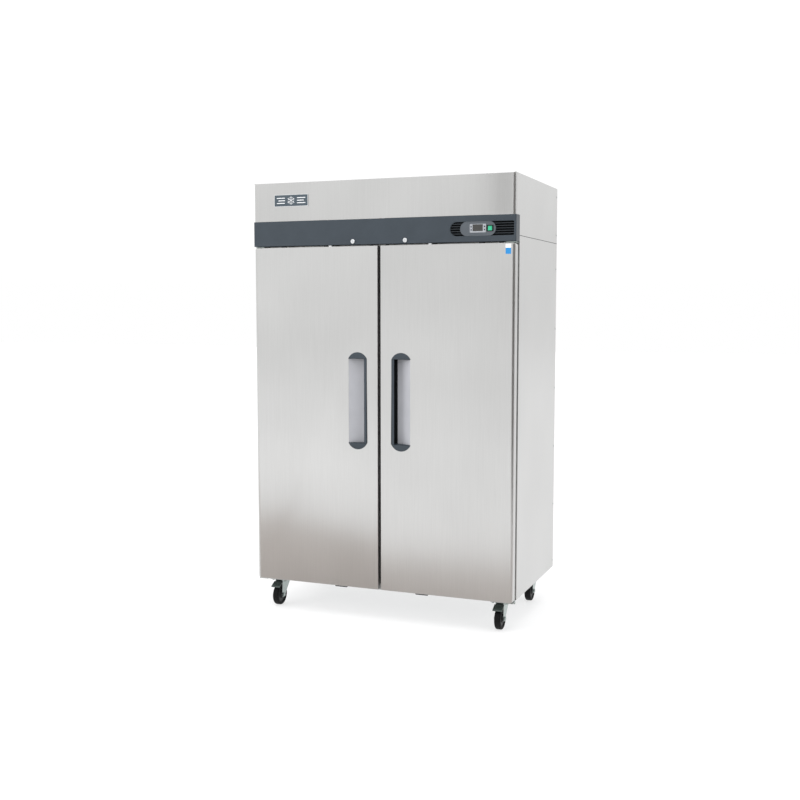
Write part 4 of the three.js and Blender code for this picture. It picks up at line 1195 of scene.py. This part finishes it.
def finned_coil(low, high, end, count, rows, columns):
    """Fins between two end plates across x, with tubes in rows (z) and columns (y)."""
    pieces = []
    pitch = (high.x - low.x - 2 * end) / (count + 1)
    fin = block("fin", (low.x + end + pitch, low.y + 3 * MM, low.z + 2 * MM),
                (low.x + end + pitch + 0.5 * MM, high.y - 3 * MM, high.z - 2 * MM))
    pieces.append(painted(repeated(fin, count, x=pitch), fin_aluminium))
    for x in (low.x + end - 2 * MM, high.x - end):
        plate = block("plate", (x, low.y, low.z), (x + 2 * MM, high.y, high.z))
        pieces.append(trim(plate, galvanised, 0.5 * MM))
    step_z = (high.z - low.z) / rows
    step_y = (high.y - low.y) / columns
    bend = step_z / 2
    for column in range(columns):
        y = low.y + (column + 0.5) * step_y
        for row in range(rows):
            z = low.z + (row + 0.5) * step_z
            tube = rod("tube", "x", TUBE_RADIUS, low.x + end - 3 * MM, high.x - end + 3 * MM,
                       (0, y, z), 12)
            pieces.append(painted(tube, copper))
            if row + 1 < rows:
                out = 1 if row % 2 == 0 else -1
                x = high.x - end + 2 * MM if out > 0 else low.x + end - 2 * MM
                hairpin = ring(bend, TUBE_RADIUS, (x, y, z + bend), 24, 12)
                sliced(hairpin, (x, y, z), (out, 0, 0), drop=True)
                hairpin.scale.x = min(1.0, (end - 7 * MM) / bend)
                hairpin.location.x = x * (1 - hairpin.scale.x)
                pieces.append(painted(settle(hairpin), copper))
    return smooth(joined("coil", *pieces), 40)

# %% Evaporator and its fans
coil_low, coil_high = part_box("evaporator")
MOTOR_LENGTH = 36 * MM
coil_front = Vector((0, MOTOR_LENGTH - 2 * MM, 0))
coil = finned_coil(coil_low + coil_front, coil_high, 22 * MM, 110, rows=4, columns=4)
motors = []
for side in (-1, 1):
    motor = rod("motor", "y", 22 * MM, coil_low.y, coil_low.y + MOTOR_LENGTH,
                (side * fan_middle.x, 0, fan_middle.z), 40)
    round_edges(motor, 4 * MM, 4, lambda c, d: c.y < coil_low.y + 0.1 * MM)
    motors.append(smooth(painted(motor, black_abs_and_trough_shade)))
finished(joined("coil", coil, *motors), "evaporator_coil", "cabinet", "aluminium_fins", "evaporator")


def fan_wheel(low, high, hub, blades, material):
    """An axial fan about the Y axis: a domed hub and twisted blades."""
    middle = (low + high) / 2
    radius = (high.x - low.x) / 2
    pieces = [round_edges(rod("hub", "y", hub, low.y, high.y, middle, 48), hub * 0.18, 5,
                          facing("y", -1), "FACE")]
    for turn in range(blades):
        blade = block("blade", middle + Vector((hub * 0.9, -0.9 * MM, -radius * 0.26)),
                      middle + Vector((radius * 0.995, 0.9 * MM, radius * 0.26)))
        round_edges(blade, radius * 0.16, 6,
                    lambda c, d: abs(d.y) > 0.9 and c.x > middle.x + radius * 0.8)
        select(blade, "FACE", everything)
        bpy.ops.mesh.subdivide(number_cuts=3)
        object_mode()
        turned(blade, "x", 26, middle)
        pieces.append(turned(blade, "y", 360 / blades * turn, middle))
    return smooth(painted(joined("fan", *pieces), material))


finished_pair(fan_wheel(fan_low, fan_high, 20 * MM, 5, black_abs_and_trough_shade), "cold_fan_{}",
              "{}_evaporator_fan", "grey_plastic", "evaporator_fan_{}")

# %% [markdown]
# ## Cooling unit
# On the deck behind the hood stand the compressor, the condenser with its fan, and the electrical
# box, joined by copper lines. The hood has no lid, so all of it shows from above.

# %% Compressor
pot_low, pot_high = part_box("compressor")
POT = Vector((-60 * MM, FRONT + 500 * MM, 0))
DECK = pot_low.z
STRETCH = 1.13             # the pot is oval, longer from side to side
CORNERS = ((-1, -1), (-1, 1), (1, -1), (1, 1))


def by_pot(name, low_mm, high_mm):
    """A block placed from the foot of the compressor's middle line, in millimetres."""
    foot = POT + Vector((0, 0, DECK))
    return block(name, foot + Vector(low_mm) * MM, foot + Vector(high_mm) * MM)


pot = rod("pot", "z", 98 * MM, DECK + 18 * MM, pot_high.z, POT, 64)
round_edges(pot, 52 * MM, 10, lambda c, d: c.z > pot_high.z - 1 * MM)
round_edges(pot, 26 * MM, 6, lambda c, d: c.z < DECK + 19 * MM)
pot.scale.x = STRETCH
pot.location.x = POT.x * (1 - STRETCH)
settle(pot)
SEAM_LOW, SEAM_HIGH = DECK + 92 * MM, DECK + 100 * MM
for z in (SEAM_LOW, SEAM_HIGH):
    sliced(pot, (0, 0, z), (0, 0, 1))
select(pot, "FACE", lambda c, n: SEAM_LOW < c.z < SEAM_HIGH and abs(n.z) < 0.2)
bpy.ops.mesh.extrude_region_shrink_fatten(TRANSFORM_OT_shrink_fatten={"value": 2.6 * MM})
object_mode()
foot_plate = by_pot("foot_plate", (-115, -85, 12), (115, 85, 19))
round_edges(foot_plate, 22 * MM, 6, along("z"))
unit = [smooth(painted(pot, black_enamel)), trim(foot_plate, black_enamel, 1.5 * MM, 3),
        trim(by_pot("cap", (80, -30, 70), (128, 30, 140)), black_abs_and_trough_shade, 7 * MM, 5)]
GROMMET_TOP = DECK + 22 * MM
for sx, sy in CORNERS:
    spot = POT + Vector((sx * 92, sy * 62, 0)) * MM
    grommet = rod("grommet", "z", 14 * MM, DECK, GROMMET_TOP, spot, 32)
    bolt = rod("bolt", "z", 6 * MM, GROMMET_TOP, DECK + 27 * MM, spot, 6)
    unit += [trim(grommet, tyre_rubber, 3 * MM, 4), trim(bolt, zinc_plate, 0.6 * MM)]
finished(joined("unit", *unit), "compressor_pot", "cabinet", "black_paint", "compressor")

# %% Condenser
heat_low, heat_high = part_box("condenser")
condenser = finned_coil(heat_low, heat_high, 17 * MM, 96, rows=6, columns=2)
finished(condenser, "condenser_coil", "cabinet", "aluminium_fins", "condenser")

# %% [markdown]
# ### Shroud and fan
# The shroud is a sheet with a rolled ring round the opening; a motor hangs behind it on four arms.

# %% Shroud and motor
shroud_low, shroud_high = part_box("fan_shroud")
blades_low, blades_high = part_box("condenser_fan")
AXLE = Vector(((shroud_low.x + shroud_high.x) / 2, 0, (blades_low.z + blades_high.z) / 2))
MOUTH_RADIUS = 104 * MM
panel_y = shroud_low.y
arm_back = panel_y + 84 * MM
panel = block("panel", shroud_low, (shroud_high.x, panel_y + 2 * MM, shroud_high.z))
round_edges(panel, 8 * MM, 4, along("y"))
combine(panel, rod("rim", "y", MOUTH_RADIUS + 5 * MM, panel_y, panel_y + 14 * MM, AXLE, 96),
        "UNION")
combine(panel, rod("mouth", "y", MOUTH_RADIUS, panel_y - 5 * MM, panel_y + 20 * MM, AXLE, 96))
motor = rod("motor", "y", 38 * MM, panel_y + 52 * MM, shroud_high.y, AXLE, 64)
shroud_parts = [trim(panel, galvanised, 0.5 * MM), trim(motor, black_enamel, 5 * MM, 4)]
for turn in (45, 135, 225, 315):
    leg = block("leg", AXLE + Vector((109.5 * MM, panel_y + 1 * MM, -6 * MM)),
                AXLE + Vector((116 * MM, arm_back, 6 * MM)))
    arm = block("arm", AXLE + Vector((30 * MM, arm_back - 4 * MM, -6 * MM)),
                AXLE + Vector((115 * MM, arm_back, 6 * MM)))
    leg = soften(combine(leg, arm, "UNION"), 1.2 * MM)
    shroud_parts.append(smooth(painted(turned(leg, "y", turn, AXLE), zinc_plate)))
finished(joined("shroud", *shroud_parts), "shroud_and_motor", "cabinet", "galvanised", "fan_shroud")
finished(fan_wheel(blades_low, blades_high, 28 * MM, 4, fin_aluminium), "condenser_fan_wheel",
         "condenser_fan", "aluminium_fins", "condenser_fan")

# %% [markdown]
# ### Electrical box
# A galvanised box with an overlapping lid, pressed knock-outs, and a three-pin mains inlet at the
# back. The inlet has no lead in it.

# %% Electrical box
box_low, box_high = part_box("electrical_box")
case = softened_copy("electrical_box", 0.8)
painted(case, galvanised)
inlet_foot = Vector(((box_low.x + box_high.x) / 2, box_high.y, box_low.z))


def by_inlet(name, low_mm, high_mm):
    return block(name, inlet_foot + Vector(low_mm) * MM, inlet_foot + Vector(high_mm) * MM)


pins = [trim(by_inlet("pin", (x - 1, -13, z - 2), (x + 1, -4, z + 2)), chrome, 0.3 * MM)
        for x, z in ((-7, 46), (0, 50), (7, 46))]
collar = round_edges(by_inlet("collar", (-20, -9, 32), (20, 0.4, 64)), 4 * MM, 4, along("y"))
combine(collar, by_inlet("socket", (-13, -20, 39), (13, 5, 57)))
inlet = trim(collar, black_abs_and_trough_shade, 0.5 * MM)
knockouts = []
for y in (-40, 0, 40):
    disc = rod("knockout", "x", 11 * MM, box_high.x - 3.2 * MM, box_high.x - 2.2 * MM,
               (0, (box_low.y + box_high.y) / 2 + y * MM, box_low.z + 60 * MM), 40)
    knockouts.append(trim(disc, zinc_plate, 0.3 * MM))
finished(joined("case", case, inlet, *pins, *knockouts), "electrical_case", "cabinet", "galvanised",
         "electrical_box")

# %% [markdown]
# ### Copper lines
# Bent copper tube joins the compressor, the condenser, a filter drier and the coil below the deck.
# Each line is a curve through its bends with a round section, turned into a mesh. The cold suction
# line wears black foam.

# %% Copper lines and drier
def bent_tube(radius, material, *points):
    """A tube through points given in millimetres from the foot of the compressor's middle line."""
    deselect_all()
    bpy.ops.curve.primitive_bezier_curve_add(location=(0, 0, 0))
    line = bpy.context.object
    spline = line.data.splines[0]
    spline.bezier_points.add(len(points) - 2)
    for point, place in zip(spline.bezier_points, points):
        point.co = POT + Vector((0, 0, DECK)) + Vector(place) * MM
        point.handle_left_type = "AUTO"
        point.handle_right_type = "AUTO"
    line.data.bevel_depth = radius
    line.data.bevel_resolution = 3
    line.data.resolution_u = 8
    line.data.use_fill_caps = True
    bpy.ops.object.convert(target="MESH")
    return smooth(painted(settle(bpy.context.object), material), 50)


# The condenser's left side and its middle, in millimetres from the compressor's middle line.
heat_x = (heat_low.x - POT.x) / MM
heat_y = ((heat_low.y + heat_high.y) / 2 - POT.y) / MM
DRIER_Y, DRIER_Z = -240, 22
discharge = bent_tube(4 * MM, copper, (-70, -50, 110), (-105, -95, 112), (-60, -190, 118),
                      (40, -262, 150), (heat_x - 16, heat_y, 180), (heat_x + 10, heat_y, 190))
liquid = bent_tube(3.2 * MM, copper, (heat_x + 12, heat_y, 22), (heat_x - 16, heat_y, 24),
                   (60, -262, 22), (-20, DRIER_Y, DRIER_Z))
capillary = bent_tube(1.8 * MM, copper, (-116, DRIER_Y, DRIER_Z), (-150, -205, 26), (-160, -60, 30),
                      (-165, 10, 14), (-165, 14, -1))
suction = bent_tube(6 * MM, filter_foam, (-60, 60, 70), (-118, 92, 72), (-150, 60, 60),
                    (-182, 24, 34), (-184, 20, -1))
drier = rod("drier", "x", 13 * MM, POT.x - 118 * MM, POT.x - 22 * MM,
            (0, POT.y + DRIER_Y * MM, DECK + DRIER_Z * MM), 40)
round_edges(drier, 9 * MM, 6, lambda c, d: abs(d.x) < 0.5)
lines = (discharge, liquid, capillary, suction, smooth(painted(drier, copper)))
finished(joined("lines", *lines), "refrigerant_lines", "cabinet", "zinc_steel")

# %% [markdown]
# ## Hinges
# Pressed brackets, each with a pin on its door's axis. The loaded shapes are right and only need
# their edges softened.

# %% Hinge brackets
for level in ("top", "bottom"):
    bracket = painted(softened_copy(f"hinge_bracket_{level}_right", 0.6), zinc_plate)
    finished_pair(bracket, f"hinge_{level}_{{}}", "cabinet", "zinc_steel",
                  f"hinge_bracket_{level}_{{}}")

# %% [markdown]
# ## Casters
# Swivelling forks on ball-raced heads, with rubber wheels, and a brake pedal on the front pair. The
# wheel is made once, at the front right, and copied; each fork starts from its own loaded part and
# gets a race, axle nuts and washers.

# %% Wheel
wheel_low, wheel_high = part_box("caster_wheel_front_right")
hub = (wheel_low + wheel_high) / 2
wheel_radius = (wheel_high.z - wheel_low.z) / 2
wheel = rod("wheel", "x", wheel_radius, wheel_low.x, wheel_high.x, hub, 72)
round_edges(wheel, 7 * MM, 5, lambda c, d: abs(d.x) < 0.5)
WHEEL_STEPS = ((5 * MM, 0), (1.5 * MM, -5 * MM), (18 * MM, 0), (2 * MM, 5 * MM))
for side in (-1, 1):
    inset_faces(wheel, facing("x", side), *WHEEL_STEPS)
combine(wheel, rod("bore", "x", 5.8 * MM, wheel_low.x - 5 * MM, wheel_high.x + 5 * MM, hub, 32))
painted(wheel, tyre_rubber)
HUB_EDGE = wheel_radius - 12.5 * MM
painted(wheel, nylon_hub, lambda c, n: math.hypot(c.y - hub.y, c.z - hub.z) < HUB_EDGE)
smooth(wheel)

# %% Swivel axes, and the hardware on a fork
TRAIL = 38 * MM            # how far each wheel's axle trails its swivel axis
SPOTS = {}
for name in ("front_left", "front_right", "rear_left", "rear_right"):
    low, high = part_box(f"caster_wheel_{name}")
    SPOTS[name] = ((low.x + high.x) / 2, (low.y + high.y) / 2 + TRAIL)


def fork_for(name):
    fork = softened_copy(f"caster_fork_{name}", 0.7)
    low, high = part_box(f"caster_fork_{name}")
    x, y = (low.x + high.x) / 2, SPOTS[name][1]
    axle = (0, y - TRAIL, hub.z)
    race = rod("race", "z", 31 * MM, 117 * MM, 121 * MM, (x, y, 0), 48)
    parts = [fork, soften(race, 1.8 * MM, 4)]
    for side, outer in ((-1, low.x + 4.4 * MM), (1, high.x - 4.4 * MM)):
        nut = rod("nut", "x", 8.5 * MM, outer - side * 1 * MM, outer + side * 3.6 * MM, axle, 6)
        washer = rod("washer", "x", 10.5 * MM, outer - side * 1.6 * MM, outer, axle, 32)
        parts += [soften(nut, 0.7 * MM), soften(washer, 0.3 * MM)]
    return smooth(painted(joined("fork", *parts), zinc_plate))

# %% Casters at the four corners
bolts = []
for name, (x, y) in SPOTS.items():
    finished(fork_for(name), f"fork_{name}", f"{name}_fork", "zinc_steel", f"caster_fork_{name}")
    finished(copied(wheel, x - hub.x, y - TRAIL - hub.y, 0), f"wheel_{name}", f"{name}_wheel",
             "wheel_rubber", f"caster_wheel_{name}")
    for sx, sy in CORNERS:
        bolt = rod("bolt", "z", 6.5 * MM, 121.5 * MM, 126.2 * MM,
                   (x + sx * 35 * MM, y + sy * 38 * MM, 0), 6)
        bolts.append(trim(bolt, zinc_plate, 0.6 * MM))
bpy.data.objects.remove(wheel)
finished(joined("bolts", *bolts), "caster_bolts", "cabinet", "zinc_steel")

# %% [markdown]
# ### Brake pedals
# A pressed pedal with a rolled lower lip and ribs for the shoe, which are small bars laid across it.

# %% Pedals
RIBS = 4
RIB_STEP = Vector((0, -6, -2.9)) * MM
for name in ("front_left", "front_right"):
    x, y = SPOTS[name]
    pivot = Vector((x, y - TRAIL, 119 * MM))
    pedal_parts = [softened_copy(f"brake_pedal_{name}", 0.8, 3)]
    for n in range(RIBS):
        spot = pivot + n * RIB_STEP
        rib = block("rib", spot + Vector((-19, -20, -3.4)) * MM,
                    spot + Vector((19, -17.5, -1.6)) * MM)
        pedal_parts.append(smooth(soften(rib, 0.6 * MM)))
    pedal = painted(joined("pedal", *pedal_parts), pedal_paint)
    finished(pedal, f"pedal_{name}", f"{name}_pedal", "zinc_steel", f"brake_pedal_{name}")
